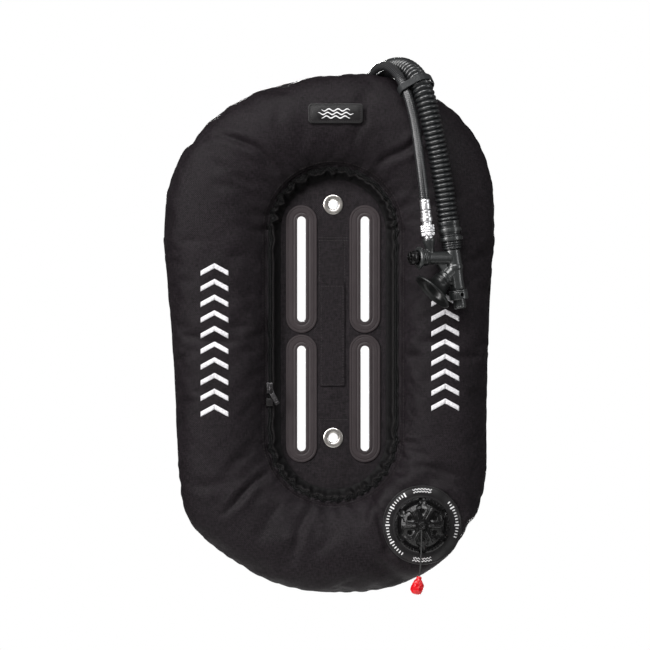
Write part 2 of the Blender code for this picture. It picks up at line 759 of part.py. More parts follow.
def make_hose_band():
    """A strap round both hoses, just below the arch."""
    hose = smooth_route(HOSE_ROUTE, 2.0)
    lp = smooth_route(LP_ROUTE, 2.0)
    at = int(np.argmin(np.linalg.norm(hose - np.array(BAND_POINT), axis=1)))
    middle = Vector(hose[at])
    along = Vector(hose[at + 1] - hose[at - 1]).normalized()
    offsets = [Vector(point) - middle for point in lp]
    other = min(offsets, key=lambda offset: abs(offset.dot(along)) + 0.02 * offset.length)
    across = (other - along * other.dot(along))
    span = across.length
    across.normalize()
    up = along.cross(across)

    def outline(margin):
        """The line round two circles, one at 0 and a smaller one a span away."""
        big, small = HOSE_RADIUS + margin, LP_RADIUS + margin
        lean = math.acos((big - small) / span)
        points = []
        for centre, radius, start, end in (
            (0.0, big, lean, 2 * math.pi - lean),
            (span, small, -lean, lean),
        ):
            for step in range(13):
                angle = start + (end - start) * step / 12
                points.append((centre + radius * math.cos(angle), radius * math.sin(angle)))
        return points

    rows = []
    for (near_x, near_y), (far_x, far_y) in zip(outline(1.9), outline(3.2)):
        corners = (
            (near_x, near_y, -4.5), (near_x, near_y, 4.5),
            (far_x, far_y, 4.5), (far_x, far_y, -4.5),
        )
        rows.append([middle + across * x + up * y + along * z for x, y, z in corners])
    mesh_object("hose_band", grid(rows), RUBBER)


# Power inflator. Distances run along the stem, the barrel and the mouth tube.

def on_stem(distance):
    return STEM_TOP + STEM * distance


def plate(name, corners, thick):
    """A flat web between three corners in the inflator's own plane."""
    normal = (corners[1] - corners[0]).cross(corners[2] - corners[0]).normalized()
    bm = bmesh.new()
    low = [bm.verts.new((corner - normal * thick / 2) * MM) for corner in corners]
    face = bm.faces.new(low)
    made = bmesh.ops.extrude_face_region(bm, geom=[face])["geom"]
    verts = [item for item in made if isinstance(item, bmesh.types.BMVert)]
    bmesh.ops.translate(bm, vec=normal * thick * MM, verts=verts)
    bmesh.ops.recalc_face_normals(bm, faces=bm.faces)
    return mesh_object(name, bm, None, CUTTERS)


def make_inflator_body():
    top = on_stem(0)
    barrel_root = on_stem(BARREL_AT)
    mouth_root = on_stem(MOUTH_AT)
    stem = (
        (0, STEM_END), (STEM_RADIUS, STEM_END), (STEM_RADIUS + 0.6, 60.0),
        (STEM_RADIUS + 0.6, 36.0), (STEM_RADIUS, 34.4), (7.9, 34.4), (7.9, 14.0), (0, 14.0),
    )
    body = turned("inflator_body", stem, top, STEM, PLASTIC)
    barrel = (
        (0, BARREL_END), (10.0, BARREL_END), (10.0, BARREL_END - 6.0),
        (BARREL_RADIUS, BARREL_END - 6.5), (BARREL_RADIUS, 0), (0, 0),
    )
    mouth = ((0, MOUTH_END), (8.5, MOUTH_END), (8.5, 0), (0, 0))
    boss = ((0, 0), (6.2, 0), (6.4, -2.0), (4.8, -13.0), (4.8, -19.0), (0, -19.0))
    join(
        body,
        turned("barrel_tube", barrel, barrel_root, BARREL, None, ROUND, CUTTERS),
        turned("mouth_tube", mouth, mouth_root, MOUTH, None, ROUND, CUTTERS),
        turned("nipple_boss", boss, NIPPLE_FOOT, NIPPLE, None, ROUND, CUTTERS),
        plate(
            "barrel_web",
            (barrel_root, barrel_root + BARREL * 31, mouth_root + MOUTH * 18), 3.0,
        ),
        plate(
            "stem_web",
            (mouth_root, mouth_root + MOUTH * 24, on_stem(STEM_END - 4)), 3.2,
        ),
    )
    cut(
        body,
        hole("air_way", 5.4, 12, MOUTH_AT, top, STEM, 14),
        hole("mouth_way", 5.8, 1.5, 30, mouth_root, MOUTH, 14),
        hole("barrel_way", 3.2, 2, 25, barrel_root, BARREL, 12),
        hole("inflate_bore", 6.2, 22, 45, barrel_root, BARREL, 16),
        hole("deflate_bore", 6.2, 70, 86, top, STEM, 16),
        hole("deflate_stem_bore", 3.7, 62, 72, top, STEM, 12),
    )


def make_inflate_button():
    root = on_stem(BARREL_AT)
    retainer = (
        (13.4, 46.2), (13.4, 43.6), (9.8, 42.3), (3.7, 42.3), (3.7, 43.6),
        (8.9, 43.6), (8.9, 47.6), (11.4, 47.6),
    )
    turned("inflate_retainer", retainer, root, BARREL, PLASTIC)
    button = (
        (0, 57.4), (7.2, 57.4), (8.4, 56.2), (8.4, 49.8), (3.0, 49.8), (3.0, 42.0),
        (5.7, 41.8), (5.7, 40.0), (3.0, 40.0), (3.0, 33.0), (0, 33.0),
    )
    turned("inflate_button", button, root, BARREL, PLASTIC)
    coil("inflate_spring", 4.7, 0.45, 6.5, 22.3, 39.7, root, BARREL, STEEL)


def make_deflate_button():
    top = on_stem(0)
    cap = (
        (10.9, 94.5), (11.5, 93.8), (11.5, 84.0), (10.9, 83.3), (8.5, 83.3), (8.5, 91.0),
        (7.8, 91.0), (7.8, 94.5),
    )
    collar = turned("deflate_cap", cap, top, STEM, PLASTIC)
    vent_place = on_stem(87.5)
    cut(collar, hole("deflate_vent", 2.1, 4, 16, vent_place, (0.35, -0.93, 0.05), 10))
    button = (
        (0, 105.3), (6.2, 105.3), (7.4, 104.0), (7.4, 90.5), (8.1, 90.5), (8.1, 88.3),
        (3.0, 88.3), (3.0, 74.0), (0, 74.0),
    )
    turned("deflate_button", button, top, STEM, PLASTIC)
    coil("deflate_spring", 4.7, 0.45, 4.5, 70.3, 88.0, top, STEM, STEEL)


def make_mouthpiece():
    """A rubber socket that widens to an oval lip."""
    root = on_stem(MOUTH_AT)
    level = BARREL.cross(Vector((0, 0, 1))).normalized()
    rise = level.cross(MOUTH).normalized()
    sections = (
        (20.5, 11.2, 11.2), (27.0, 11.0, 11.0), (34.0, 15.0, 12.0), (38.0, 23.0, 15.5),
        (39.5, *FLANGE_HALF), (42.0, *FLANGE_HALF), (42.6, 24.6, 15.6), (42.6, 13.5, 8.5),
        (37.0, 11.5, 7.5), (31.0, 8.8, 8.0), (27.6, 8.8, 8.8), (20.5, 8.8, 8.8),
    )
    rows = []
    for step in range(LIP_STEPS):
        angle = 2 * math.pi * step / LIP_STEPS
        rows.append([
            root + MOUTH * along + rise * tall * math.cos(angle) + level * wide * math.sin(angle)
            for along, tall, wide in sections
        ])
    mesh_object("mouthpiece", grid(rows), RUBBER)


def make_inflator_cuff():
    top = on_stem(0)
    cuff = ((11.4, 34.0), (12.4, 6.0), (13.2, 4.0), (13.2, 0.3), (8.2, 0.3), (8.2, 34.0))
    turned("hose_cuff", cuff, top, STEM, RUBBER)
    make_tie("cable_tie_upper", on_stem(11.0), STEM, 12.7)
    make_tie("cable_tie_lower", on_stem(21.5), STEM, 12.4)


def make_coupling():
    nipple = ((0, 16.0), (4.4, 16.0), (4.4, 4.0), (5.4, 4.0), (5.4, 0.3), (0, 0.3))
    turned("lp_nipple", nipple, NIPPLE_FOOT, NIPPLE, STEEL)
    body = (
        (0, 35.0), (5.6, 35.0), (6.0, 34.0), (6.0, 26.5), (7.0, 26.0), (7.0, 21.5),
        (6.0, 21.0), (6.0, 8.7), (7.2, 8.5), (7.2, 4.4), (4.8, 4.4), (4.8, 18.5), (0, 18.5),
    )
    turned("coupling_body", body, NIPPLE_FOOT, NIPPLE, STEEL)
    sleeve = ring_profile(6.35, 8.5, 9.0, 17.0)
    turned("coupling_sleeve", sleeve, NIPPLE_FOOT, NIPPLE, STEEL, 18)
    ferrule = ((0, 48.0), (5.2, 48.0), (6.1, 47.0), (6.1, 35.3), (0, 35.3))
    turned("lp_ferrule", ferrule, NIPPLE_FOOT, NIPPLE, STEEL)


make_shells()
make_bladder()
make_panel()
make_patches()
make_grommets()
make_zipper()
make_slider()
make_pull()
make_label()
make_valve_patch()
make_valve()
make_pull_cord()
make_elbow()
make_hoses()
make_hose_band()
make_inflator_cuff()
make_inflator_body()
make_inflate_button()
make_deflate_button()
make_mouthpiece()
make_coupling()
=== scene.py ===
"""Looks of the buoyancy wing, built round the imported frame.

Lengths inside the script are in millimetres and become metres when a mesh is made. +Z is up and
-Y is the side that faces the diver. Places come from the frame's boxes and joints, and profiles
run along an axis from there.
"""

import json
import math

import bmesh
import bpy
import numpy as np
from mathutils import Matrix, Vector
from mathutils.bvhtree import BVHTree


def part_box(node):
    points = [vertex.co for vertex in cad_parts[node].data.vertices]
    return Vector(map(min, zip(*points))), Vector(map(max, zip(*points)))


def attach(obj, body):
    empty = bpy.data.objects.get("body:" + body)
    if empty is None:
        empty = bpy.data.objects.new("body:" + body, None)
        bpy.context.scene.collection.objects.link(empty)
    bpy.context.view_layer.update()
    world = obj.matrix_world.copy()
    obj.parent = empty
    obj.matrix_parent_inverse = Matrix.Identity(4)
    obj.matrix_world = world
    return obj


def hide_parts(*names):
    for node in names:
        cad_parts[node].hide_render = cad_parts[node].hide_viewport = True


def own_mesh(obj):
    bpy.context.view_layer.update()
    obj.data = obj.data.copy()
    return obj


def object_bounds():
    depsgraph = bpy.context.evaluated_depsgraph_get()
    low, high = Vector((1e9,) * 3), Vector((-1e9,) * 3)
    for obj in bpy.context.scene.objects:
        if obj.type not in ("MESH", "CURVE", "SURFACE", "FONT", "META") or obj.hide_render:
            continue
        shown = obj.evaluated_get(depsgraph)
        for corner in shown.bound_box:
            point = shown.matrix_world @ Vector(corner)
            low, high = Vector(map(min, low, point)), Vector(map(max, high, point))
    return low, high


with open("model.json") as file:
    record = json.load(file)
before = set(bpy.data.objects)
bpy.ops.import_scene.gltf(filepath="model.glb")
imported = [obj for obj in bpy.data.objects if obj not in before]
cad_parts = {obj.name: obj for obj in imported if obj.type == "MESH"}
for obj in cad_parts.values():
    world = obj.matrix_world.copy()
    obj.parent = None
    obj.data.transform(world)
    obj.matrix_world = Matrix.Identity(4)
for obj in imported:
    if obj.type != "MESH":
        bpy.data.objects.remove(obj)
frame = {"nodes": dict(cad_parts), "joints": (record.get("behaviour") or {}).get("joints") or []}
CAD_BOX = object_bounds()

MM = 0.001


# What the frame says, in millimetres.

def corners(node):
    low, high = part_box(node)
    return np.array(low) / MM, np.array(high) / MM


def centre(node):
    low, high = corners(node)
    return (low + high) / 2


def joint_axis(name):
    joint = next(joint for joint in frame["joints"] if joint["name"] == name)
    return np.array(joint["axis"], float)


def cad_points(node):
    mesh = frame["nodes"][node].data
    found = np.empty(len(mesh.vertices) * 3)
    mesh.vertices.foreach_get("co", found)
    return found.reshape(-1, 3) / MM


FRONT = np.array((0.0, -1.0, 0.0))
REAR = -FRONT

TAPE_LOW, TAPE_HIGH = corners("zipper_tape")
ZIP_RADIUS = TAPE_HIGH[0]
INNER_RADIUS = ZIP_RADIUS + 0.7
ARC_HIGH = TAPE_HIGH[2] - ZIP_RADIUS
ARC_LOW = TAPE_LOW[2] + ZIP_RADIUS
CREST = -corners("shell_front")[0][1]
ZIP_EDGE_DEPTH = 14.0
VALVE = centre("valve_gasket")[[0, 2]]
ELBOW = centre("elbow_gasket")[[0, 2]]

# The ring's section is a superellipse of this power, which rises round a port on each side.
# A port is (its centre, the radius of the flat round it, the width over which that fades).
PLUMP = 2.3
PLUMP_AT_PORT = 8.0
PORT_SHAPES = {-1: (VALVE, 34.0, 38.0), 1: (ELBOW, 16.0, 22.0)}

STEM = -joint_axis("deflate_press")
BARREL = -joint_axis("inflate_press")
NIPPLE = joint_axis("coupling_release")
MOUTH = BARREL + np.array((0.0, 0.0, -1.0))
MOUTH /= np.linalg.norm(MOUTH)

# Distances down the inflator's stem.
BARREL_AT = 44.6
MOUTH_AT = 56.0
STEM_LOW = 79.0
VENT_AT = 89.2
UPPER_TIE_AT = 11.0
LOWER_TIE_AT = 21.5

# Routes of the hoses and the cord, and the feet of the inflator's branches.
HOSE_RADIUS = 12.7
HOSE_ROUTE = (
    (20.4, 72, 256.5), (25.2, 72, 262.9), (34, 69.6, 273.5), (45, 61.5, 285),
    (56.5, 46.5, 295.5), (67.5, 25, 302), (78, 3, 303.8), (88, -17.5, 301), (97, -34.5, 293),
    (104, -47, 281.5), (109, -54.8, 267.5), (113, -58.2, 251), (117.2, -59.3, 232.5),
    (121, -59.2, 215), (125, -58.7, 196), (128.5, -58.5, 175), (132, -58.5, 154),
    (134.5, -58.5, 133), (136.5, -58.5, 119.2),
)
LP_RADIUS = 5.8
LP_ROUTE = (
    (108.3, -71.7, 145.2), (107.2, -71.4, 156), (104.9, -69.8, 176), (102.2, -66.5, 197),
    (99.4, -62.3, 218), (96.6, -58.8, 237), (93.2, -56.3, 252.5), (89.2, -53.2, 267),
    (84, -48, 280.5), (78, -39.5, 292), (71.2, -28, 300.5), (64, -14.5, 305),
    (57, -0.5, 304.8), (50.8, 13, 300.8), (47, 25, 293.8), (45.8, 35, 283),
    (46.8, 42.7, 269.8), (49, 47.8, 254), (51, 50.6, 237), (52, 51.5, 218), (52, 51.5, 195),
    (52, 51.5, 150), (52, 51.5, 105), (52, 51.5, 60), (52, 51.5, 15), (52, 51.5, -32),
)
PULL_ROUTE = ((104.8, -65.8, -241.5), (102.4, -65.8, -303.0))
STEM_TOP = np.array(HOSE_ROUTE[-1], float)
NIPPLE_FOOT = np.array((113.2, -72.2, 97.0))


# Materials.

class Paint:
    """A material whose Principled shader is fed by texture nodes."""

    def __init__(self, name, roughness, metallic=0.0, **values):
        self.material = bpy.data.materials.new(name)
        self.material.use_nodes = True
        self.tree = self.material.node_tree
        self.shader = self.tree.nodes["Principled BSDF"]
        self.shader.inputs["Roughness"].default_value = roughness
        self.shader.inputs["Metallic"].default_value = metallic
        for key, value in values.items():
            self.shader.inputs[key.replace("_", " ")].default_value = value

    def feed(self, socket, value):
        if isinstance(value, bpy.types.Node):
            value = value.outputs[0]
        if isinstance(value, bpy.types.NodeSocket):
            self.tree.links.new(value, socket)
        else:
            socket.default_value = value

    def node(self, kind, *values, **settings):
        made = self.tree.nodes.new("ShaderNode" + kind)
        for key, value in settings.items():
            setattr(made, key, value)
        for socket, value in zip(made.inputs, values):
            if value is not None:
                self.feed(socket, value)
        return made

    def sum(self, kind, *values):
        return self.node("Math", *values, operation=kind)

    def place(self, kind="Object", stretch=(1.0, 1.0, 1.0)):
        coordinates = self.node("TexCoord").outputs[kind]
        mapping = self.node("Mapping", coordinates)
        mapping.inputs["Scale"].default_value = [value / MM for value in stretch]
        return mapping

    def noise(self, place, size, detail=3.0, roughness=0.55):
        """Noise from 0 to 1, with features of about that many millimetres."""
        made = self.node("TexNoise")
        self.feed(made.inputs["Vector"], place)
        made.inputs["Scale"].default_value = 1.0 / size
        made.inputs["Detail"].default_value = detail
        made.inputs["Roughness"].default_value = roughness
        return made.outputs["Fac"]

    def spread(self, value, low, high, start=0.3, end=0.7):
        """The value, moved from the range start to end onto the range low to high."""
        return self.node("MapRange", value, start, end, low, high).outputs[0]

    def blend(self, share, first, second):
        made = self.node("Mix", data_type="RGBA")
        for socket, value in zip(("Factor", "A", "B"), (share, first, second)):
            chosen = [s for s in made.inputs if s.name == socket and s.enabled][0]
            self.feed(chosen, value)
        return [s for s in made.outputs if s.enabled][0]

    def colour(self, share, first, second):
        self.feed(self.shader.inputs["Base Color"], self.blend(share, (*first, 1), (*second, 1)))

    def rough(self, value):
        self.feed(self.shader.inputs["Roughness"], value)

    def bump(self, *layers):
        """Layers are (height, depth in millimetres), coarse first."""
        normal = None
        for height, depth in layers:
            made = self.node("Bump")
            made.inputs["Strength"].default_value = 1.0
            made.inputs["Distance"].default_value = depth * MM
            self.feed(made.inputs["Height"], height)
            if normal:
                self.feed(made.inputs["Normal"], normal)
            normal = made.outputs["Normal"]
        self.feed(self.shader.inputs["Normal"], normal)

    def split(self, place):
        return self.node("SeparateXYZ", place).outputs


def weave(paint, place, first, second, pitch):
    """A plain weave, as the product of two waves along two of the coordinates."""
    parts = paint.split(place)
    wobble = paint.noise(place, 4.0)
    threads = []
    for axis in (first, second):
        turn = paint.sum("MULTIPLY", parts[axis], math.pi / pitch)
        threads.append(paint.sum("SINE", paint.sum("ADD", turn, wobble)))
    return paint.sum("MULTIPLY_ADD", paint.sum("MULTIPLY", *threads), 0.5, 0.5)


def fabric(name, dark, light, kind="UV", axes=(0, 1), pitch=1.15):
    paint = Paint(name, 0.6, Specular_IOR_Level=0.13)
    place = paint.place(kind)
    pattern = weave(paint, place, *axes, pitch)
    patches = paint.noise(place, 60.0, 2.0)
    along, across = [0.3, 0.3, 0.3], [0.3, 0.3, 0.3]
    along[axes[1]] = across[axes[0]] = 1.0
    picks = paint.noise(paint.place(kind, along), 1.6, 2.0)
    ends = paint.noise(paint.place(kind, across), 1.6, 2.0)
    slubs = paint.sum("MULTIPLY_ADD", picks, 0.5, paint.sum("MULTIPLY", ends, 0.5))
    shade = paint.sum("MULTIPLY_ADD", pattern, 0.3, paint.spread(slubs, 0.0, 0.9, 0.37, 0.63))
    shade = paint.sum("MULTIPLY_ADD", patches, 0.5, paint.sum("SUBTRACT", shade, 0.35))
    paint.colour(shade, dark, light)
    paint.rough(paint.spread(patches, 0.48, 0.62))
    paint.bump((slubs, 0.5), (pattern, 0.25))
    return paint.material


def vinyl(name, dark, light, roughness, grain=0.9):
    paint = Paint(name, roughness, Specular_IOR_Level=0.4)
    place = paint.place()
    cells = paint.node("TexVoronoi", place)
    cells.inputs["Scale"].default_value = 1.0 / grain
    patches = paint.noise(place, 18.0)
    paint.colour(patches, dark, light)
    paint.rough(paint.spread(paint.noise(place, 7.0), roughness - 0.08, roughness + 0.1))
    paint.bump((cells.outputs["Distance"], 0.10), (paint.noise(place, 0.5), 0.05))
    return paint.material


def twill(name, dark, light, kind="UV", pitch=1.5):
    paint = Paint(name, 0.6, Specular_IOR_Level=0.16)
    place = paint.place(kind)
    parts = paint.split(place)
    slant = paint.sum("MULTIPLY", paint.sum("ADD", parts[0], parts[1]), 2 * math.pi / pitch)
    cross = paint.sum("MULTIPLY", paint.sum("SUBTRACT", parts[0], parts[1]), 2 * math.pi / pitch)
    ribs = paint.sum("MULTIPLY_ADD", paint.sum("SINE", slant), 0.5, 0.5)
    grooves = paint.sum("MULTIPLY_ADD", paint.sum("SINE", cross), 0.15, ribs)
    paint.colour(ribs, dark, light)
    paint.bump((grooves, 0.2), (paint.noise(place, 0.6), 0.06))
    return paint.material


def plastic(name, dark, light, roughness, texture=0.04, **values):
    paint = Paint(name, roughness, **values)
    place = paint.place()
    patches = paint.noise(place, 9.0, 4.0)
    scuffs = paint.noise(paint.place("Object", (1.0, 1.0, 0.15)), 1.2, 4.0)
    edges = paint.spread(paint.node("NewGeometry").outputs["Pointiness"], 0.0, 0.5, 0.51, 0.58)
    shade = paint.sum("ADD", paint.sum("MULTIPLY", patches, 0.5), edges)
    paint.colour(shade, dark, light)
    paint.rough(paint.spread(scuffs, roughness - 0.05, roughness + 0.12))
    paint.bump((paint.noise(place, 3.0), texture), (paint.noise(place, 0.35), texture * 0.12))
    return paint.material


def metal(name, colour, shade, roughness, stretch=(1.0, 1.0, 1.0)):
    paint = Paint(name, roughness, 1.0)
    place = paint.place("Object", stretch)
    patches = paint.noise(paint.place(), 5.0, 4.0)
    paint.colour(patches, shade, colour)
    paint.rough(paint.spread(paint.noise(place, 0.8, 4.0), roughness - 0.06, roughness + 0.1))
    paint.bump((paint.noise(paint.place(), 3.0), 0.01), (paint.noise(place, 0.5), 0.0015))
    return paint.material


def braid(name, dark, light, strands, pitch, roughness):
    """Crossed strands. U runs once round the cord, and V is metres along it."""
    paint = Paint(name, roughness, Specular_IOR_Level=0.6, Coat_Weight=0.12, Coat_Roughness=0.14)
    coordinates = paint.node("TexCoord").outputs["UV"]
    parts = paint.split(coordinates)
    turn = paint.sum("MULTIPLY", parts[0], 2 * math.pi * strands)
    along = paint.sum("MULTIPLY", parts[1], 2 * math.pi / (pitch * MM))
    left = paint.sum("SINE", paint.sum("ADD", turn, along))
    right = paint.sum("SINE", paint.sum("SUBTRACT", turn, along))
    pattern = paint.sum("MULTIPLY_ADD", paint.sum("MULTIPLY", left, right), 0.5, 0.5)
    fuzz = paint.noise(paint.place(), 0.6)
    paint.colour(pattern, dark, light)
    paint.rough(paint.spread(fuzz, roughness - 0.08, roughness + 0.12))
    paint.bump((pattern, 0.25), (fuzz, 0.05))
    return paint.material


FABRIC = fabric("shell_fabric", (0.0027, 0.0021, 0.0025), (0.0158, 0.0119, 0.0147))
PANEL_FABRIC = fabric(
    "panel_fabric", (0.0036, 0.0029, 0.0034), (0.0183, 0.0142, 0.0168), "Object", (0, 2),
)
# The gusset's black fabric, about half as light as the shell's: partly its own colour, partly painted
# shade for the recessed band between zipper and panel.
SHADED_GUSSET_FABRIC = fabric("gusset_fabric_painted_shade", (0.002, 0.0019, 0.002), (0.008, 0.0074, 0.0078), pitch=0.9)
PRINT = fabric("white_print", (0.52, 0.51, 0.53), (0.86, 0.85, 0.87))
PATCH_VINYL = vinyl("patch_vinyl", (0.019, 0.0135, 0.015), (0.033, 0.025, 0.027), 0.5)
LABEL_VINYL = vinyl("label_vinyl", (0.003, 0.0027, 0.003), (0.0075, 0.0065, 0.0072), 0.46)
RING_RUBBER = vinyl("ring_rubber", (0.0033, 0.0028, 0.0032), (0.0085, 0.0073, 0.0081), 0.5, 0.6)
INK = vinyl("white_ink", (0.66, 0.66, 0.67), (0.86, 0.86, 0.86), 0.4, 0.6)
TAPE = twill("zipper_tape", (0.0016, 0.0014, 0.0016), (0.0075, 0.0066, 0.0072))
THREAD = twill("sewing_thread", (0.02, 0.018, 0.018), (0.07, 0.064, 0.062), "Object", 0.5)
PALE_THREAD = twill("pale_thread", (0.02, 0.018, 0.018), (0.085, 0.075, 0.078), "Object", 0.5)
TEETH = plastic(
    "zipper_teeth", (0.0008, 0.0008, 0.0008), (0.004, 0.004, 0.0042), 0.3, Specular_IOR_Level=0.2,
)
PLASTIC = plastic(
    "black_plastic", (0.010, 0.0112, 0.0112), (0.032, 0.0352, 0.0352), 0.3, 0.015,
    Specular_IOR_Level=0.95,
)
GLOSS = plastic(
    "gloss_black", (0.0012, 0.0011, 0.0012), (0.005, 0.0045, 0.005), 0.26, 0.003,
    Specular_IOR_Level=0.4,
)
RUBBER = plastic(
    "black_rubber", (0.005, 0.0058, 0.0062), (0.018, 0.020, 0.0212), 0.3, 0.012,
    Specular_IOR_Level=0.85,
)
MOUTH_RUBBER = plastic(
    "mouth_rubber", (0.003, 0.0033, 0.0033), (0.011, 0.012, 0.012), 0.34, 0.02,
    Specular_IOR_Level=0.4,
)
# Near-black paint with almost no reflection, used only as painted shadow inside the deflate vent.
PAINTED_VENT_SHADOW = plastic(
    "vent_shadow", (0.0004, 0.0004, 0.0004), (0.001, 0.001, 0.001), 0.8, 0.01,
    Specular_IOR_Level=0.02,
)
RED = plastic("red_plastic", (0.55, 0.002, 0.006), (0.8, 0.006, 0.014), 0.26, 0.02)
FILM = plastic("bladder_film", (0.03, 0.03, 0.035), (0.06, 0.06, 0.065), 0.35)
STEEL = metal("bright_steel", (0.97, 0.97, 0.98), (0.84, 0.84, 0.86), 0.36)
NICKEL = metal("nickel", (0.8, 0.77, 0.73), (0.6, 0.57, 0.53), 0.3)
GUNMETAL = metal("gunmetal", (0.16, 0.155, 0.16), (0.07, 0.068, 0.07), 0.32)
BRAID = braid("hose_braid", (0.0015, 0.0016, 0.0018), (0.042, 0.043, 0.045), 9, 4.6, 0.22)
CORD_BRAID = braid("cord_braid", (0.003, 0.003, 0.003), (0.014, 0.014, 0.014), 4, 1.4, 0.5)


# Meshes.

def smoothstep(value):
    value = np.clip(value, 0.0, 1.0)
    return value * value * (3 - 2 * value)


def finish_object(obj, paint, body, replaced=()):
    obj.data.materials.clear()
    obj.data.materials.append(paint)
    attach(obj, body)
    if replaced:
        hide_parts(*replaced)
    return obj


def placed(name, data):
    obj = bpy.data.objects.new(name, data)
    bpy.context.scene.collection.objects.link(obj)
    return obj


def smooth_shaded(mesh, sharp):
    """Smooth shading, with edges kept sharp past an angle in degrees, or none at 0."""
    mesh.shade_smooth()
    if sharp:
        mesh.set_sharp_from_angle(angle=math.radians(sharp))


def from_bmesh(name, bm, sharp=40):
    mesh = bpy.data.meshes.new(name)
    bm.to_mesh(mesh)
    bm.free()
    smooth_shaded(mesh, sharp)
    return placed(name, mesh)


def add_mesh(name, points, faces, sharp=35):
    mesh = bpy.data.meshes.new(name)
    mesh.from_pydata((np.asarray(points, float) * MM).tolist(), [], [list(f) for f in faces])
    smooth_shaded(mesh, sharp)
    return placed(name, mesh)


def unit(vectors):
    vectors = np.array(vectors, float)
    return vectors / np.linalg.norm(vectors, axis=-1)[..., None]


def lengths_along(path):
    """The distance from the start of a path to each of its points."""
    return np.concatenate([[0], np.cumsum(np.linalg.norm(np.diff(path, axis=0), axis=1))])


def grid_faces(rows, columns, wrap):
    index = np.arange(rows * columns).reshape(rows, columns)
    if wrap[0]:
        index = np.vstack([index, index[:1]])
    if wrap[1]:
        index = np.hstack([index, index[:, :1]])
    quads = (index[:-1, :-1], index[1:, :-1], index[1:, 1:], index[:-1, 1:])
    return np.stack(quads, -1).reshape(-1, 4)


def sheet(name, points, wrap=(False, False), uv=None, caps=False, sharp=0):
    """A grid of quads through an array of points, with UVs in metres unless they are given."""
    rows, columns = points.shape[:2]
    faces = [list(face) for face in grid_faces(rows, columns, wrap)]
    quads = len(faces)
    if caps:
        faces.append(list(range(columns))[::-1])
        faces.append([(rows - 1) * columns + column for column in range(columns)])
    obj = add_mesh(name, points.reshape(-1, 3), faces, sharp)
    if uv is None:
        closed = points
        if wrap[0]:
            closed = np.concatenate([closed, closed[:1]], 0)
        if wrap[1]:
            closed = np.concatenate([closed, closed[:, :1]], 1)
        down = np.linalg.norm(np.diff(closed, axis=0), axis=2).mean(1)
        over = np.linalg.norm(np.diff(closed, axis=1), axis=2).mean(0)
        first = np.concatenate([[0], np.cumsum(down)]) * MM
        second = np.concatenate([[0], np.cumsum(over)]) * MM
        uv = np.stack(np.meshgrid(first, second, indexing="ij"), -1)
    corner_uv = (uv[:-1, :-1], uv[1:, :-1], uv[1:, 1:], uv[:-1, 1:])
    flat = np.zeros((len(obj.data.loops), 2))
    flat[: quads * 4] = np.stack(corner_uv, 2).reshape(-1, 2)
    layer = obj.data.uv_layers.new(name="UVMap")
    layer.data.foreach_set("uv", flat.ravel())
    return obj


def basis(axis):
    """Two unit vectors square to the axis. The first lies as near to +X as it can."""
    axis = np.array(axis, float) / np.linalg.norm(axis)
    guide = np.array((1.0, 0, 0)) if abs(axis[0]) < 0.8 else np.array((0, 0, 1.0))
    first = guide - axis * guide.dot(axis)
    first /= np.linalg.norm(first)
    return first, np.cross(axis, first)


def rounded(profile, radius, steps=3):
    """The profile with each inner corner rounded."""
    profile = [np.array(point, float) for point in profile]
    points = [profile[0]]
    for before, corner, after in zip(profile, profile[1:], profile[2:]):
        back, ahead = before - corner, after - corner
        lengths = np.linalg.norm(back), np.linalg.norm(ahead)
        reach = min(radius, 0.45 * lengths[0], 0.45 * lengths[1])
        start, end = corner + back / lengths[0] * reach, corner + ahead / lengths[1] * reach
        for step in range(steps + 1):
            share = step / steps
            points.append(
                start * (1 - share) ** 2 + corner * 2 * share * (1 - share) + end * share**2
            )
    points.append(profile[-1])
    return np.array(points)


def lathe(name, profile, place, axis, steps=64, fillet=0.5, shape=None, sharp=50):
    """A turned shape. The profile runs along (radius, height), and shape changes radii."""
    line = rounded(profile, fillet) if fillet else np.array(profile, float)
    first, second = basis(axis)
    axis = np.array(axis, float) / np.linalg.norm(axis)
    angles = np.linspace(0, 2 * np.pi, steps, endpoint=False)
    radii = np.repeat(line[None, :, 0], steps, 0)
    heights = np.repeat(line[None, :, 1], steps, 0)
    if shape:
        radii, heights = shape(angles[:, None], radii, heights)
    points = (
        np.array(place, float)
        + (radii * np.cos(angles)[:, None])[..., None] * first
        + (radii * np.sin(angles)[:, None])[..., None] * second
        + heights[..., None] * axis
    )
    obj = sheet(name, points, (True, False), sharp=0)
    tidy(obj, sharp)
    return obj


def tidy(obj, sharp=50):
    """Weld the poles and turn every face outward."""
    bm = bmesh.new()
    bm.from_mesh(obj.data)
    bmesh.ops.remove_doubles(bm, verts=bm.verts, dist=0.00001)
    bmesh.ops.recalc_face_normals(bm, faces=bm.faces)
    bm.to_mesh(obj.data)
    bm.free()
    smooth_shaded(obj.data, sharp)


def smooth_route(points, spacing, closed=False):
    """Points every so many millimetres along a smooth curve through the given ones."""
    given = [np.array(point, float) for point in points]
    if closed:
        given = [given[-1], *given, given[0], given[1]]
    else:
        given = [2 * given[0] - given[1], *given, 2 * given[-1] - given[-2]]
    fine = []
    for before, start, end, after in zip(given, given[1:], given[2:], given[3:]):
        knots = [0.0]
        for first, second in ((before, start), (start, end), (end, after)):
            knots.append(knots[-1] + math.sqrt(np.linalg.norm(second - first)))
        knot = np.linspace(knots[1], knots[2], 24, endpoint=False)[:, None]

        def between(first, second, low, high):
            share = (knot - knots[low]) / (knots[high] - knots[low])
            return first * (1 - share) + second * share

        a, b, c = (
            between(*pair, i, i + 1)
            for i, pair in enumerate(((before, start), (start, end), (end, after)))
        )
        fine.append(between(between(a, b, 0, 2), between(b, c, 1, 3), 1, 2))
    fine = np.concatenate(fine)
    fine = np.vstack([fine, fine[:1] if closed else given[-2][None]])
    along = lengths_along(fine)
    wanted = np.linspace(0, along[-1], max(2, round(along[-1] / spacing)) + 1)
    if closed:
        wanted = wanted[:-1]
    return np.array([np.interp(wanted, along, axis) for axis in fine.T]).T


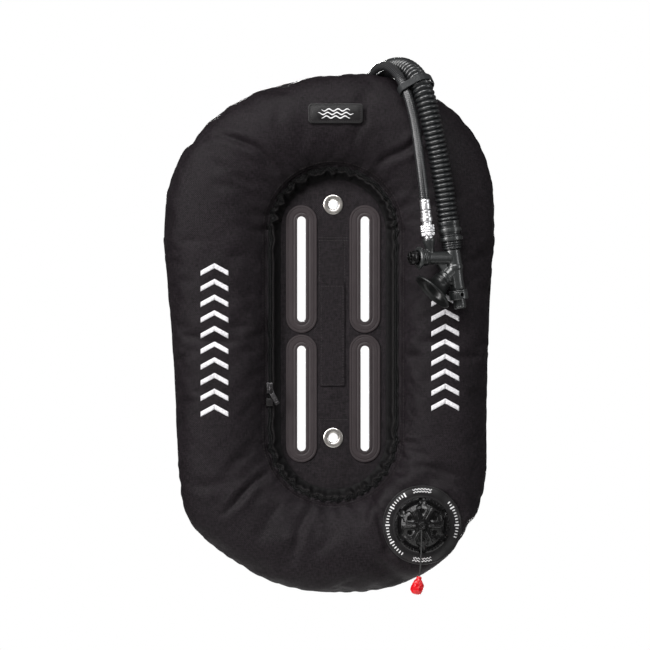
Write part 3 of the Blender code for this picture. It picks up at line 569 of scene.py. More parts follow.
def frames_along(path):
    """Tangents and two cross directions along a path, without twist."""
    tangents = np.gradient(path, axis=0)
    tangents /= np.linalg.norm(tangents, axis=1)[:, None]
    side = np.cross(tangents[0], (0.0, 1.0, 0.0))
    sides = []
    for tangent in tangents:
        side = side - tangent * side.dot(tangent)
        side = side / np.linalg.norm(side)
        sides.append(side)
    sides = np.array(sides)
    return tangents, sides, np.cross(tangents, sides)


def tube(name, path, radii, sides=24):
    """A tube along a path, whose radius may differ at each point."""
    path = np.array(path, float)
    _, across, up = frames_along(path)
    radii = np.broadcast_to(radii, len(path))
    angles = np.linspace(0, 2 * np.pi, sides, endpoint=False)
    points = (
        path[:, None]
        + across[:, None] * (radii[:, None] * np.cos(angles))[..., None]
        + up[:, None] * (radii[:, None] * np.sin(angles))[..., None]
    )
    along = lengths_along(path) * MM
    turn = np.linspace(0, 1, sides + 1)
    uv = np.stack([np.repeat(turn[None], len(path), 0), np.repeat(along[:, None], sides + 1, 1)], -1)
    obj = sheet(name, points, (False, True), uv, caps=True)
    tidy(obj, 60)
    return obj


def route_length(path):
    return float(np.linalg.norm(np.diff(path, axis=0), axis=1).sum() * MM)


# Camera, lights and floor.

VIEW_CENTRE = (-9.8, 0.0, -4.6)
VIEW_WIDTH = 778.7
VIEW_DISTANCE = 8.0
SENSOR = 36.0
FLOOR_BELOW = 270.0


def make_camera():
    data = bpy.data.cameras.new("camera")
    data.sensor_width = SENSOR
    data.lens = SENSOR * VIEW_DISTANCE / (VIEW_WIDTH * MM)
    data.clip_end = 100.0
    camera = placed("camera", data)
    camera.location = Vector(VIEW_CENTRE) * MM + Vector((0.0, -VIEW_DISTANCE, 0.0))
    camera.rotation_euler = (math.pi / 2, 0.0, 0.0)
    bpy.context.scene.camera = camera


def make_light(name, place, size, power, colour):
    data = bpy.data.lights.new(name, "AREA")
    data.shape = "RECTANGLE"
    data.size, data.size_y = size
    data.energy = power
    data.color = colour
    light = placed(name, data)
    light.visible_camera = False
    light.location = place
    light.rotation_euler = (-Vector(place)).to_track_quat("-Z", "Y").to_euler()


# (name, place in metres, size in metres, power in watts, colour)
LIGHTS = (
    ("key", (-1.9, -1.8, 0.9), (0.9, 1.9), 80, (1.0, 0.985, 0.985)),
    ("fill", (2.2, -0.9, 0.5), (0.3, 1.7), 12, (0.98, 0.99, 1.0)),
    ("top", (-0.1, -1.7, 1.8), (1.5, 0.7), 50, (1.0, 1.0, 1.0)),
    ("back_left", (-0.25, 2.8, 0.35), (0.5, 1.3), 80, (1.0, 1.0, 1.0)),
    ("back_right", (0.35, 2.8, -0.1), (0.4, 1.6), 50, (1.0, 1.0, 1.0)),
)
FLOOR_RADIUS = 620.0


def disc(radius, steps, height):
    angles = np.linspace(0, 2 * np.pi, steps, endpoint=False)
    points = [(radius * math.cos(a), radius * math.sin(a), height) for a in angles]
    return points, [list(range(steps))]


def make_stage():
    """A white backdrop, soft lights, and a pale floor below the wing."""
    scene = bpy.context.scene
    scene.view_settings.view_transform = "Standard"
    world = bpy.data.worlds.new("studio")
    scene.world = world
    world.use_nodes = True
    nodes, links = world.node_tree.nodes, world.node_tree.links
    shown = nodes["Background"]
    shown.inputs["Color"].default_value = (1, 1, 1, 1)
    shown.inputs["Strength"].default_value = 1.0
    lit = nodes.new("ShaderNodeBackground")
    lit.inputs["Color"].default_value = (1.0, 0.98, 0.98, 1)
    lit.inputs["Strength"].default_value = 0.13
    path, mix = nodes.new("ShaderNodeLightPath"), nodes.new("ShaderNodeMixShader")
    links.new(path.outputs["Is Camera Ray"], mix.inputs[0])
    links.new(lit.outputs[0], mix.inputs[1])
    links.new(shown.outputs[0], mix.inputs[2])
    links.new(mix.outputs[0], nodes["World Output"].inputs["Surface"])
    for light in LIGHTS:
        make_light(*light)
    floor = add_mesh("floor", *disc(FLOOR_RADIUS, 96, CAD_BOX[0].z / MM - FLOOR_BELOW))
    paint = Paint("pale_floor", 0.8)
    paint.colour(paint.noise(paint.place(), 90.0), (0.84, 0.84, 0.83), (0.88, 0.88, 0.87))
    floor.data.materials.append(paint.material)


make_camera()


# Hoses and the pull cord.

RIB_PITCH = 5.8
RIB_DEPTH = 3.3
RIB_RINGS = 12


def make_corrugated_hose():
    path = smooth_route(HOSE_ROUTE, RIB_PITCH / RIB_RINGS)
    along = lengths_along(path)
    crest = np.abs(np.sin(np.pi * along / RIB_PITCH)) ** 0.7
    radii = HOSE_RADIUS - RIB_DEPTH * (1 - crest)
    hose = tube("corrugated_hose_ribbed", path, radii, 40)
    finish_object(hose, RUBBER, "wing", ("corrugated_hose",))
    route_length(path)


def make_lp_hose():
    path = smooth_route(LP_ROUTE, 2.5)
    hose = tube("lp_hose_braided", path, LP_RADIUS, 28)
    finish_object(hose, BRAID, "wing", ("lp_hose",))
    end = np.array(LP_ROUTE[-1], float)
    ferrule = lathe(
        "rear_ferrule",
        ((0, 0), (6.15, 0), (6.3, -0.6), (6.3, -4), (6.0, -4.4), (6.3, -4.8), (6.3, -8), (6.0, -8.4),
         (6.3, -8.8), (6.3, -12.4), (5.3, -14.0), (0, -14.0)),
        end, (0, 0, 1), 48, 0.3,
    )
    finish_object(ferrule, STEEL, "wing", ("lp_ferrule_rear",))
    stud = lathe(
        "first_stage_stud", threaded_stud(), end, (0, 0, 1), 48, 0.0,
        lambda angle, radii, heights: (hexagon(angle, radii, heights, -21.6, -14.6), heights),
    )
    finish_object(stud, STEEL, "wing", ("first_stage_fitting",))
    route_length(path)


def threaded_stud():
    profile = [(0, -14.3), (6.6, -14.3), (7.6, -15.2), (7.6, -21.2), (6.8, -22.0), (4.2, -22.2)]
    for turn in range(7):
        height = -23.0 - turn * 1.06
        profile += [(4.2, height + 0.5), (4.75, height)]
    profile += [(4.0, -30.8), (0, -30.9)]
    return profile


def hexagon(angle, radii, heights, low, high):
    """Flats across the stretch between two heights."""
    folded = (angle + np.pi / 6) % (np.pi / 3) - np.pi / 6
    flats = 0.88 / np.cos(folded)
    inside = (heights > low) & (heights < high) & (radii > 7.0)
    return np.where(inside, radii * flats, radii)


def make_pull_cord():
    start, end = np.array(PULL_ROUTE[0]), np.array(PULL_ROUTE[1])
    share = np.linspace(0, 1, 32)[:, None]
    path = start + (end - start) * np.hstack([share**3, share, share])
    cord = tube("pull_cord_braided", path, 1.0, 12)
    finish_object(cord, CORD_BRAID, "dump_pull", ("pull_cord",))
    lean = np.array((0.2, 0.0, 0.98)) / np.hypot(0.2, 0.98)

    def facets(angle, radii, heights):
        turn = angle + 0.45 * np.sin(heights / 3.1)
        folded = turn % (2 * np.pi / 7) - np.pi / 7
        flat = np.cos(np.pi / 7) / np.cos(folded)
        bite = 0.06 * np.sin(3 * turn + heights / 2.2)
        body = smoothstep((-heights - 1.5) / 4.0)
        return radii * (1 + body * (1.35 * (flat - 1) + bite * (radii > 4))), heights

    profile = (
        (0, 0), (2.3, 0), (2.9, -0.8), (3.3, -2.6), (3.1, -3.2), (5.6, -6.0), (7.3, -9.6),
        (8.1, -13.4), (7.9, -16.8), (6.0, -20.4), (3.4, -21.7), (0, -21.8),
    )
    knob = lathe("pull_knob_faceted", profile, end - lean * 0.3, lean, 84, 0.5, facets, 22)
    finish_object(knob, RED, "dump_pull", ("pull_knob",))
    route_length(path)


make_corrugated_hose()
make_lp_hose()
make_pull_cord()
make_stage()


# The ring's shape. It has two arcs about the ends of a spine, and straight sides between them.

STATION_REACH = 140.0
MIDDLE_REACH = 190.0


def stations(spacing):
    """(height of the arc's centre, angle) of each section round the ring, anticlockwise."""
    straight = round((ARC_HIGH - ARC_LOW) / spacing)
    arc = round(math.pi * STATION_REACH / spacing)
    up = np.linspace(ARC_LOW, ARC_HIGH, straight, endpoint=False)
    turn = np.linspace(0, math.pi, arc, endpoint=False)
    down = (ARC_HIGH + ARC_LOW) - up
    heights = np.concatenate([up, np.full(arc, ARC_HIGH), down, np.full(arc, ARC_LOW)])
    angles = np.concatenate([np.zeros(straight), turn, np.full(straight, math.pi), math.pi + turn])
    return heights, angles


SEAM_DEPTH = 1.6
LEAST_REACH = 100.0
CELL_HEIGHT = 8.0
CELL_TURN = 4.0
OUTLINE_MIDDLE = -15.0


def outline_of(node):
    """The outer edge of a shell, as a smooth closed line. It goes through the furthest point of
    the seam in each cell of height and angle."""
    points = cad_points(node)
    seam = points[np.abs(points[:, 1]) < SEAM_DEPTH]
    heights = np.clip(seam[:, 2], ARC_LOW, ARC_HIGH)
    offset = np.stack([seam[:, 0], seam[:, 2] - heights], 1)
    reach = np.linalg.norm(offset, axis=1)
    seam, heights, offset, reach = (
        values[reach > LEAST_REACH] for values in (seam, heights, offset, reach)
    )
    angles = np.degrees(np.arctan2(offset[:, 1], offset[:, 0]))
    best = {}
    for point, height, angle, far in zip(seam, heights, angles, reach):
        key = (round(height / CELL_HEIGHT), round(angle / CELL_TURN))
        if key not in best or far > best[key][0]:
            best[key] = (far, point)
    found = np.array([point for _, point in best.values()])
    order = np.argsort(np.arctan2(found[:, 2] - OUTLINE_MIDDLE, found[:, 0]))
    return smooth_route(found[order][:, [0, 2]], 4.0, closed=True)


EDGE = outline_of("shell_front")


def outer_radii(heights, angles):
    found = []
    for height, angle in zip(heights, angles):
        direction = (math.cos(angle), math.sin(angle))
        start = EDGE - np.array((0.0, height))
        side = np.roll(start, -1, axis=0) - start
        cross = direction[0] * side[:, 1] - direction[1] * side[:, 0]
        cross[np.abs(cross) < 1e-9] = 1e-9
        along = (start[:, 0] * side[:, 1] - start[:, 1] * side[:, 0]) / cross
        share = (start[:, 0] * direction[1] - start[:, 1] * direction[0]) / cross
        found.append(along[(share >= 0) & (share < 1) & (along > 0)].max())
    return np.array(found)


def plumpness(across, up, side):
    """The power of the section at points of the front or back."""
    port, flat, blend = PORT_SHAPES[side]
    away = np.hypot(across - port[0], up - port[1])
    return PLUMP + (PLUMP_AT_PORT - PLUMP) * (1 - smoothstep((away - flat) / blend))


def bulge(share, edge_depth, crest, power):
    """Depth across the section, from the inner edge at 0 to the seam at 1."""
    base = np.where(share < 0.5, edge_depth, 0.0)
    along = np.abs(2 * share - 1)
    return base + (crest - base) * np.maximum(1 - along**power, 0) ** (1 / power)


def ring_points(heights, angles, reach, depth):
    """Points in space from a reach and a depth, at each station and step."""
    cos, sin = np.cos(angles)[:, None], np.sin(angles)[:, None]
    return np.stack([cos * reach, depth, heights[:, None] + sin * reach], -1)


def waves(phase, seed, count=5, low=0.6, high=1.7):
    """A wave that never quite repeats, from -1 to 1. The phase is in wavelengths."""
    source = np.random.default_rng(seed)
    total = np.zeros_like(phase)
    for rate, shift in zip(source.uniform(low, high, count), source.uniform(0, 6.3, count)):
        total += np.sin(2 * np.pi * rate * phase + shift)
    return total / math.sqrt(count) / 1.4


# The fabric shell. Creases are (points on the front or back, depth, half width).

FRONT_CREASES = (
    (((-139, 223), (-120, 218), (-104, 212), (-90, 205), (-78, 193), (-70, 181)), 3.4, 4.2),
    (((-142, 166), (-124, 161), (-104, 154)), 1.4, 6.0),
    (((48, 184), (68, 196), (86, 204), (110, 223), (130, 237), (141, 245)), 3.2, 4.5),
    (((-131, -229), (-118, -218), (-102, -200), (-85, -185), (-79, -181)), 3.4, 4.2),
    (((-174, -196), (-154, -197), (-136, -193), (-120, -190)), 1.7, 6.0),
    (((-48, -283), (-42, -259), (-33, -229)), 1.9, 5.0),
    (((47, -212), (53, -229), (59, -255), (64, -270)), 2.0, 4.0),
    (((115, -185), (140, -194), (163, -202)), 1.3, 5.0),
    (((-192, -44), (-174, -42)), 2.2, 3.5),
    (((186, -157), (168, -153)), 1.5, 4.0),
    (((186, 138), (173, 146)), 1.8, 3.5),
    (((-60, 262), (-66, 240), (-64, 226)), 1.2, 6.0),
)
BACK_CREASES = (
    (((132, 226), (112, 212), (92, 196), (78, 184)), 3.0, 4.5),
    (((-118, 236), (-98, 214), (-84, 196)), 2.4, 4.5),
    (((138, -214), (112, -200), (90, -188)), 2.6, 5.0),
    (((-140, -206), (-116, -196), (-92, -184)), 2.8, 4.5),
    (((20, -292), (14, -262), (16, -234)), 2.0, 5.0),
    (((-190, 20), (-170, 26)), 1.8, 4.0),
    (((184, -60), (164, -54)), 1.8, 4.0),
)
SKIN_SPACING = 6.0
SKIN_STEPS = 26
START_CREST = 39.0
GROWTH = 0.035
PRESSURE = 6.0
SIM_FRAMES = 24
MOST_MOVE = 5.5
MOST_OUT = 1.2
EDGE_LIP = ((76.6, 12.9), (77.4, 14.1), (78.8, 14.7))
BACK_LIP = ((66.5, 5.3), (69.2, 6.2), (75.0, 8.6))


def skin_points(side):
    """(points, unrolled coordinates) of one half of the shell before the simulation."""
    heights, angles = stations(SKIN_SPACING)
    outer = outer_radii(heights, angles)[:, None]
    share = (1 - np.cos(np.pi * np.linspace(0, 1, SKIN_STEPS + 1)))[None] / 2
    reach = INNER_RADIUS + share * (outer - INNER_RADIUS)
    plain = ring_points(heights, angles, reach, np.zeros_like(reach))
    power = plumpness(plain[..., 0], plain[..., 2], side)
    crest = START_CREST + (CREST - START_CREST) * (power - PLUMP) / (PLUMP_AT_PORT - PLUMP)
    depth = np.maximum(bulge(share, ZIP_EDGE_DEPTH, crest, power), 0.4)
    lip = EDGE_LIP if side < 0 else BACK_LIP
    lead = np.array(lip)[:, 0] + np.zeros((len(heights), 1))
    lead_depth = np.array(lip)[:, 1] + np.zeros((len(heights), 1))
    reach, depth = np.hstack([lead, reach]), np.hstack([lead_depth, depth])
    phase = SKIN_SPACING * np.arange(1, len(heights) + 1)
    scallop = 0.5 * waves(phase / 40.0, 11)
    reach[:, -1] += scallop - 0.6
    on_arc = np.abs(heights - (ARC_HIGH + ARC_LOW) / 2) > (ARC_HIGH - ARC_LOW) / 2 - 1
    arc = np.where(on_arc, 1.0, 0.25)
    gather = arc * waves(phase / 21.0, 21 if side < 0 else 22)
    edge = len(lip)
    fade = np.exp(-((np.arange(reach.shape[1]) - edge) / 4.0) ** 2)[None]
    depth = depth + 1.3 * gather[:, None] * fade * (1 if side < 0 else 0.4)
    reach = reach + 0.8 * np.roll(gather, 3)[:, None] * fade * (1 if side < 0 else 0.2)
    points = ring_points(heights, angles, reach, side * depth)
    run = np.hypot(np.diff(reach, axis=1), np.diff(depth, axis=1))
    unrolled = reach[:, :1] + np.concatenate([np.zeros((len(heights), 1)), np.cumsum(run, 1)], 1)
    flat = ring_points(heights, angles, unrolled, np.zeros_like(unrolled))[..., [0, 2]]
    return points, flat


def simulate(obj, pins):
    """Blow the sheet up a little with more cloth than its outline needs, and keep the folds."""
    start = np.array([vertex.co for vertex in obj.data.vertices])
    group = obj.vertex_groups.new(name="pins")
    group.add([int(index) for index in pins], 1.0, "REPLACE")
    cloth = obj.modifiers.new("Cloth", "CLOTH")
    settings = cloth.settings
    settings.quality = 6
    settings.mass = 0.25
    settings.tension_stiffness = settings.compression_stiffness = 25
    settings.shear_stiffness = 8
    settings.bending_stiffness = 0.6
    settings.vertex_group_mass = "pins"
    settings.use_pressure = True
    settings.uniform_pressure_force = PRESSURE
    settings.shrink_min = -GROWTH
    settings.effector_weights.gravity = 0
    cloth.collision_settings.use_collision = False
    cloth.point_cache.frame_start, cloth.point_cache.frame_end = 1, SIM_FRAMES
    for number in range(1, SIM_FRAMES + 1):
        bpy.context.scene.frame_set(number)
    evaluated = obj.evaluated_get(bpy.context.evaluated_depsgraph_get())
    found = np.array([vertex.co for vertex in evaluated.data.vertices])
    obj.modifiers.remove(cloth)
    obj.vertex_groups.remove(group)
    bpy.context.scene.frame_set(1)
    return start / MM, found / MM


def capped(start, found, normals):
    """The simulated points, with the way each has moved kept within its limits."""
    move = found - start
    length = np.linalg.norm(move, axis=1)[:, None]
    kept = MOST_MOVE * np.tanh(length / MOST_MOVE)
    move = move * np.where(length > 0, kept / np.maximum(length, 1e-9), 1)
    out = (move * normals).sum(1)
    limit = np.where(out > 0, out - MOST_MOVE * np.tanh(out / MOST_MOVE), 0)
    return start + move - limit[:, None] * normals


def crease_depth(flat, creases):
    """How far the skin sinks, or rises when negative, at points of the front or back."""
    total = np.zeros(len(flat))
    for points, depth, width in creases:
        line = smooth_route([(x, z, 0) for x, z in points], 3.0)[:, :2]
        away = np.linalg.norm(flat[:, None] - line[None], axis=2)
        nearest = away.argmin(1)
        distance = away.min(1)
        along = nearest / (len(line) - 1)
        strength = depth * np.clip(np.sin(np.pi * np.clip(along, 0.03, 0.97)), 0, 1) ** 0.5
        total += strength * (
            np.exp(-((distance / width) ** 2))
            - 0.45 * np.exp(-(((distance - 2.1 * width) / (1.3 * width)) ** 2))
        )
    return total


def blown(obj, points, side):
    across = np.arange(points.shape[0] * points.shape[1]) % points.shape[1]
    lips = len(EDGE_LIP if side < 0 else BACK_LIP)
    port, keep, _ = PORT_SHAPES[side]
    spots = points.reshape(-1, 3)
    near_port = np.hypot(spots[:, 0] - port[0], spots[:, 2] - port[1]) < keep + 6
    pins = np.nonzero((across <= lips) | (across == points.shape[1] - 1) | near_port)[0]
    normals = np.array([vertex.normal for vertex in obj.data.vertices])
    spots = capped(*simulate(obj, pins), normals)
    spots[:, 1] = side * np.minimum(side * spots[:, 1], CREST + MOST_OUT)
    return spots


def detailed(shape, normals, side, creases):
    """The points of the finer mesh with creases, seam puckers, gathers and soft waves."""
    sink = crease_depth(shape[:, [0, 2]], creases)
    reach, seam_away = edge_distances(shape)
    along = ring_phase(shape)
    puckers = np.exp(-((seam_away / 12.0) ** 1.5))
    sink += 1.1 * (puckers * np.maximum(waves(along / 24.0, 31 + side), -0.2))
    if side < 0:
        level = np.maximum(shape[:, 2] - ARC_HIGH, ARC_LOW - shape[:, 2])
        gathers = smoothstep((level + 14) / 20) * smoothstep((reach - 77.5) / 6)
        gathers = gathers * np.exp(-((reach - 80) / 17) ** 2)
        sink += 1.1 * gathers * waves(along / 75.0, 61, high=2.4)
    sink *= np.clip(seam_away / 2.0, 0, 1)
    soft = 0.5 * waves(along / 60.0, 41 + side) * waves(reach / 50.0, 43 + side)
    shape = shape - normals * (sink + soft * np.clip(seam_away / 12, 0, 1))[:, None]
    shape[:, 1] = side * np.clip(side * shape[:, 1], 0.3, CREST + MOST_OUT)
    return shape


def make_skin(name, side, node, creases):
    points, flat = skin_points(side)
    obj = sheet(name, points, (True, False), np.concatenate([flat, flat[:1]], 0) * MM)
    if side < 0:
        obj.data.flip_normals()
    obj.data.vertices.foreach_set("co", (blown(obj, points, side) * MM).ravel())
    obj.data.update()
    finer = obj.modifiers.new("Finer", "SUBSURF")
    finer.levels = finer.render_levels = 2
    finer.uv_smooth = "PRESERVE_BOUNDARIES"
    apply_modifiers(obj)
    shape = np.array([vertex.co for vertex in obj.data.vertices]) / MM
    normals = np.array([vertex.normal for vertex in obj.data.vertices])
    shape = detailed(shape, normals, side, creases)
    obj.data.vertices.foreach_set("co", (shape * MM).ravel())
    obj.data.update()
    thicken(obj, 0.9, -1)
    apply_modifiers(obj)
    obj.data.shade_smooth()
    finish_object(obj, FABRIC, "wing", (node,))
    return obj


def edge_distances(points):
    """(reach from the spine line, distance inside the seam) of each point."""
    heights = np.clip(points[:, 2], ARC_LOW, ARC_HIGH)
    reach = np.hypot(points[:, 0], points[:, 2] - heights)
    away = np.full(len(points), 1e9)
    flat = points[:, [0, 2]]
    for start, end in zip(EDGE, np.roll(EDGE, -1, axis=0)):
        side = end - start
        share = np.clip(((flat - start) @ side) / side.dot(side), 0, 1)
        away = np.minimum(away, np.linalg.norm(flat - start - share[:, None] * side, axis=1))
    return reach, np.hypot(away, 0.55 * np.abs(points[:, 1]))


def ring_phase(points):
    """Distance in millimetres round the ring at its middle width."""
    heights = np.clip(points[:, 2], ARC_LOW, ARC_HIGH)
    angle = np.arctan2(points[:, 2] - heights, points[:, 0])
    straight = ARC_HIGH - ARC_LOW
    half_turn = math.pi * MIDDLE_REACH
    on_arc = np.abs(points[:, 2] - heights) > 1e-6
    top = straight + angle * MIDDLE_REACH
    left = straight + half_turn + (ARC_HIGH - heights)
    bottom = 2 * straight + half_turn + (angle + math.pi) * MIDDLE_REACH
    on_side = np.where(points[:, 0] > 0, heights - ARC_LOW, left)
    return np.where(on_arc, np.where(points[:, 2] > 0, top, bottom), on_side)


def thicken(obj, thick, offset):
    thickness = obj.modifiers.new("Thickness", "SOLIDIFY")
    thickness.thickness = thick * MM
    thickness.offset = offset


def apply_modifiers(obj):
    bpy.context.view_layer.update()
    graph = bpy.context.evaluated_depsgraph_get()
    evaluated = obj.evaluated_get(graph)
    mesh = bpy.data.meshes.new_from_object(evaluated, preserve_all_data_layers=True, depsgraph=graph)
    obj.modifiers.clear()
    obj.data = mesh


FRONT_SKIN = make_skin("shell_front_fabric", -1, "shell_front", FRONT_CREASES)
BACK_SKIN = make_skin("shell_back_fabric", 1, "shell_back", BACK_CREASES)


def make_bladder():
    """The air cell, a little smaller than the shell all round."""
    spacing = 9.0
    heights, angles = stations(spacing)
    outer = outer_radii(heights, angles)[:, None] - 9.0
    inner = INNER_RADIUS + 7.0
    turn = np.linspace(0, 2 * np.pi, 28, endpoint=False)[None]
    middle, half = (outer + inner) / 2, (outer - inner) / 2
    ripple = waves(np.arange(len(heights)) * spacing / 26.0, 61)[:, None]
    wrinkle = 1 + 0.012 * ripple * (1 + np.cos(turn)) / 2
    squared = 1 + 0.10 * np.sin(2 * turn) ** 2
    reach = middle + half * squared * np.cos(turn) * wrinkle
    depth = 31.0 * squared * np.sin(turn) * wrinkle
    points = ring_points(heights, angles, np.minimum(reach, outer), depth)
    cell = sheet("bladder_film", points, (True, True))
    tidy(cell, 0)
    finish_object(cell, FILM, "wing", ("bladder",))


make_bladder()


def surface_tree(obj):
    points = np.array([vertex.co for vertex in obj.data.vertices]) / MM
    return BVHTree.FromPolygons(points.tolist(), [list(p.vertices) for p in obj.data.polygons])


FRONT_TREE = surface_tree(FRONT_SKIN)
BACK_TREE = surface_tree(BACK_SKIN)


def skin_hit(tree, x, z, side):
    """The skin's point and outward normal over a flat spot. Off its edge, the seam's own depth."""
    place, normal, _, _ = tree.ray_cast((x, side * 120.0, z), (0, -side, 0))
    if place is None:
        near, normal, _, _ = tree.find_nearest((x, side * 4.0, z))
        place = Vector((x, near.y, z))
    return place, normal if normal.y * side > 0 else -normal


def drape(flat, side, lift):
    """The points of the front or back that lie over flat ones, raised a little off the skin."""
    tree = FRONT_TREE if side < 0 else BACK_TREE
    found = []
    for x, z in flat:
        place, normal = skin_hit(tree, x, z, side)
        found.append(place + normal * lift)
    return np.array(found)


# Stitches and prints.

STITCH_POINTS = 5
STITCH_SIDES = 6


def stitch_row(path, normals, closed, length=2.5, gap=1.0, radius=0.32):
    """(points, faces) of a row of stitches along a path. Each dives in at its ends."""
    path, normals = np.array(path, float), np.array(normals, float)
    if closed:
        path, normals = np.vstack([path, path[:1]]), np.vstack([normals, normals[:1]])
    along = lengths_along(path)
    count = int(along[-1] // (length + gap))
    shares = np.linspace(0, 1, STITCH_POINTS)
    starts = (np.arange(count) + 0.5) * along[-1] / count - length / 2
    where = starts[:, None] + shares * length
    spots = np.stack([np.interp(where, along, axis) for axis in path.T], -1)
    up = unit(np.stack([np.interp(where, along, axis) for axis in normals.T], -1))
    ahead = np.repeat(unit(spots[:, -1:] - spots[:, :1]), STITCH_POINTS, 1)
    side = np.cross(ahead, up)
    rise = radius * np.array((-1.6, 0.1, 0.35, 0.1, -1.6))
    fat = radius * np.array((0.6, 1.0, 1.05, 1.0, 0.6))
    turn = np.linspace(0, 2 * np.pi, STITCH_SIDES, endpoint=False)
    points = (
        (spots + up * rise[None, :, None])[:, :, None]
        + side[:, :, None] * (fat[:, None] * np.cos(turn))[None, ..., None]
        + up[:, :, None] * (0.7 * fat[:, None] * np.sin(turn))[None, ..., None]
    )
    base = grid_faces(STITCH_POINTS, STITCH_SIDES, (False, True))
    each = STITCH_POINTS * STITCH_SIDES
    faces = (base[None] + each * np.arange(count)[:, None, None]).reshape(-1, 4)
    return points.reshape(-1, 3), faces


def merged(parts):
    """The (points, faces) pairs as one."""
    used = np.cumsum([0] + [len(points) for points, _ in parts])
    faces = [faces + start for (_, faces), start in zip(parts, used)]
    return np.concatenate([points for points, _ in parts]), np.concatenate(faces)


def stitches(name, rows, paint, slot="zip_tape", **sizes):
    """One object from several (path, normals, closed) rows."""
    points, faces = merged([stitch_row(*row, **sizes) for row in rows])
    obj = add_mesh(name, points, faces.tolist(), 0)
    return finish_object(obj, paint, "wing")


def facing(path, normal):
    return np.repeat(np.array(normal, float)[None], len(path), 0)


def raised(flat, depth):
    """Flat (x, z) points in space, all at one depth."""
    return np.stack([flat[:, 0], np.full(len(flat), depth), flat[:, 1]], 1)


def flat_row(flat, depth, side, closed=True):
    """A row of stitches on a flat face of the front or back."""
    return raised(flat, depth), facing(flat, (0, side, 0)), closed


def skin_row(reach, side, lift=0.1):
    """A closed row of stitches on the skin, at a reach round the ring."""
    heights, angles = stations(3.0)
    reach = np.full((len(heights), 1), reach)
    flat = ring_points(heights, angles, reach, 0 * reach)[:, 0][:, [0, 2]]
    tree = FRONT_TREE if side < 0 else BACK_TREE
    normals = np.array([skin_hit(tree, x, z, side)[1] for x, z in flat])
    return drape(flat, side, lift), normals, True


def patchwork(name, quads, side, paint, step=2.0, lift=0.35):
    """Flat four-cornered shapes laid on the skin, as one thin print."""
    parts = []
    for quad in quads:
        a, b, c, d = (np.array(corner, float) for corner in quad)
        across = max(1, round(np.linalg.norm(b - a) / step))
        up = max(1, round(np.linalg.norm(d - a) / step))
        u = np.linspace(0, 1, across + 1)[:, None, None]
        v = np.linspace(0, 1, up + 1)[None, :, None]
        flat = (a * (1 - u) + b * u) * (1 - v) + (d * (1 - u) + c * u) * v
        faces = grid_faces(across + 1, up + 1, (False, False))
        parts.append((drape(flat.reshape(-1, 2), side, lift), faces))
    points, faces = merged(parts)
    obj = add_mesh(name, points, faces.tolist(), 0)
    facing_out = sum(p.normal.y * p.area for p in obj.data.polygons) * side
    if facing_out < 0:
        obj.data.flip_normals()
    layer = obj.data.uv_layers.new(name="UVMap")
    corners_at = np.empty(len(obj.data.loops), int)
    obj.data.loops.foreach_get("vertex_index", corners_at)
    layer.data.foreach_set("uv", (points[corners_at][:, [0, 2]] * MM).ravel())
    thicken(obj, 0.3, -1)
    apply_modifiers(obj)
    return finish_object(obj, paint, "wing")


def chevrons(middle, low, high, count, half, rise, stroke):
    """Quads of a column of upward chevrons between two heights."""
    quads = []
    for number in range(count):
        foot = low + (high - low - rise - stroke) * number / (count - 1)
        for sign in (-1, 1):
            outer, inner = (middle + sign * half, foot), (middle, foot + rise)
            up = (0, stroke)
            quads.append((outer, inner, np.add(inner, up), np.add(outer, up)))
    return quads


def make_prints():
    left = chevrons(-141.5, -114, 69, 10, 16.5, 9.0, 6.0)
    right = chevrons(133.5, -107, 50, 9, 16.5, 9.0, 6.0)
    patchwork("print_left", left, -1, PRINT)
    patchwork("print_right", right, -1, PRINT)


make_prints()


def make_shell_seams():
    rows = [skin_row(84.0, -1), skin_row(81.2, -1), skin_row(72.6, 1)]
    stitches("shell_seam_stitches", rows, THREAD, slot="shell_fabric")
    rim = raised(EDGE, 0.0)
    outward = rim - raised(np.stack([0 * EDGE[:, 0], np.clip(EDGE[:, 1], ARC_LOW, ARC_HIGH)], 1), 0.0)
    path = smooth_route(rim - unit(outward) * 2.2, 4.0, closed=True)
    ahead = unit(np.roll(path, -1, axis=0) - np.roll(path, 1, axis=0))
    side = unit(np.cross(ahead, (0.0, 1.0, 0.0)))
    up = np.cross(ahead, side)
    turn = np.linspace(0, 2 * np.pi, 10, endpoint=False)[:, None]
    points = path[:, None] + 1.5 * (side[:, None] * np.cos(turn) + up[:, None] * np.sin(turn))
    cord = sheet("outer_seam", points, (True, True))
    tidy(cord, 0)
    finish_object(cord, TAPE, "wing")


make_shell_seams()


# Zipper and gusset.

def zip_wave(spacing):
    """How the gathered fabric waves round the arcs: (reach shift, depth shift)."""
    heights, angles = stations(spacing)
    phase = np.arange(len(heights)) * spacing
    on_arc = (heights >= ARC_HIGH - 12) | (heights <= ARC_LOW + 12)
    share = np.convolve(np.pad(on_arc.astype(float), 12, mode="wrap"), np.ones(25) / 25, "valid")
    strength = 0.12 + 0.88 * share
    return heights, angles, strength * waves(phase / 34.0, 51), strength * waves(phase / 21.0, 52)


# The zipper's line, and how far its gathers push it outward and forward.
ZIP_LINE = 76.0
ZIP_PUSH = (2.7, 1.4)
GUSSET_PUSH = (2.9, 1.2)
TAPE_DEPTH = -13.5
COIL_DEPTH = -13.4
COIL_PITCH = 1.55
SHEET_SPACING = 3.0
LEAST_WIDTH = 10.5


def zip_line(reach, depth, spacing):
    """Points of a closed line beside the zipper, with its waves."""
    heights, angles, sideways, deep = zip_wave(spacing)
    reach, depth = reach + ZIP_PUSH[0] * sideways, depth + ZIP_PUSH[1] * deep
    return ring_points(heights, angles, reach[:, None], depth[:, None])[:, 0]


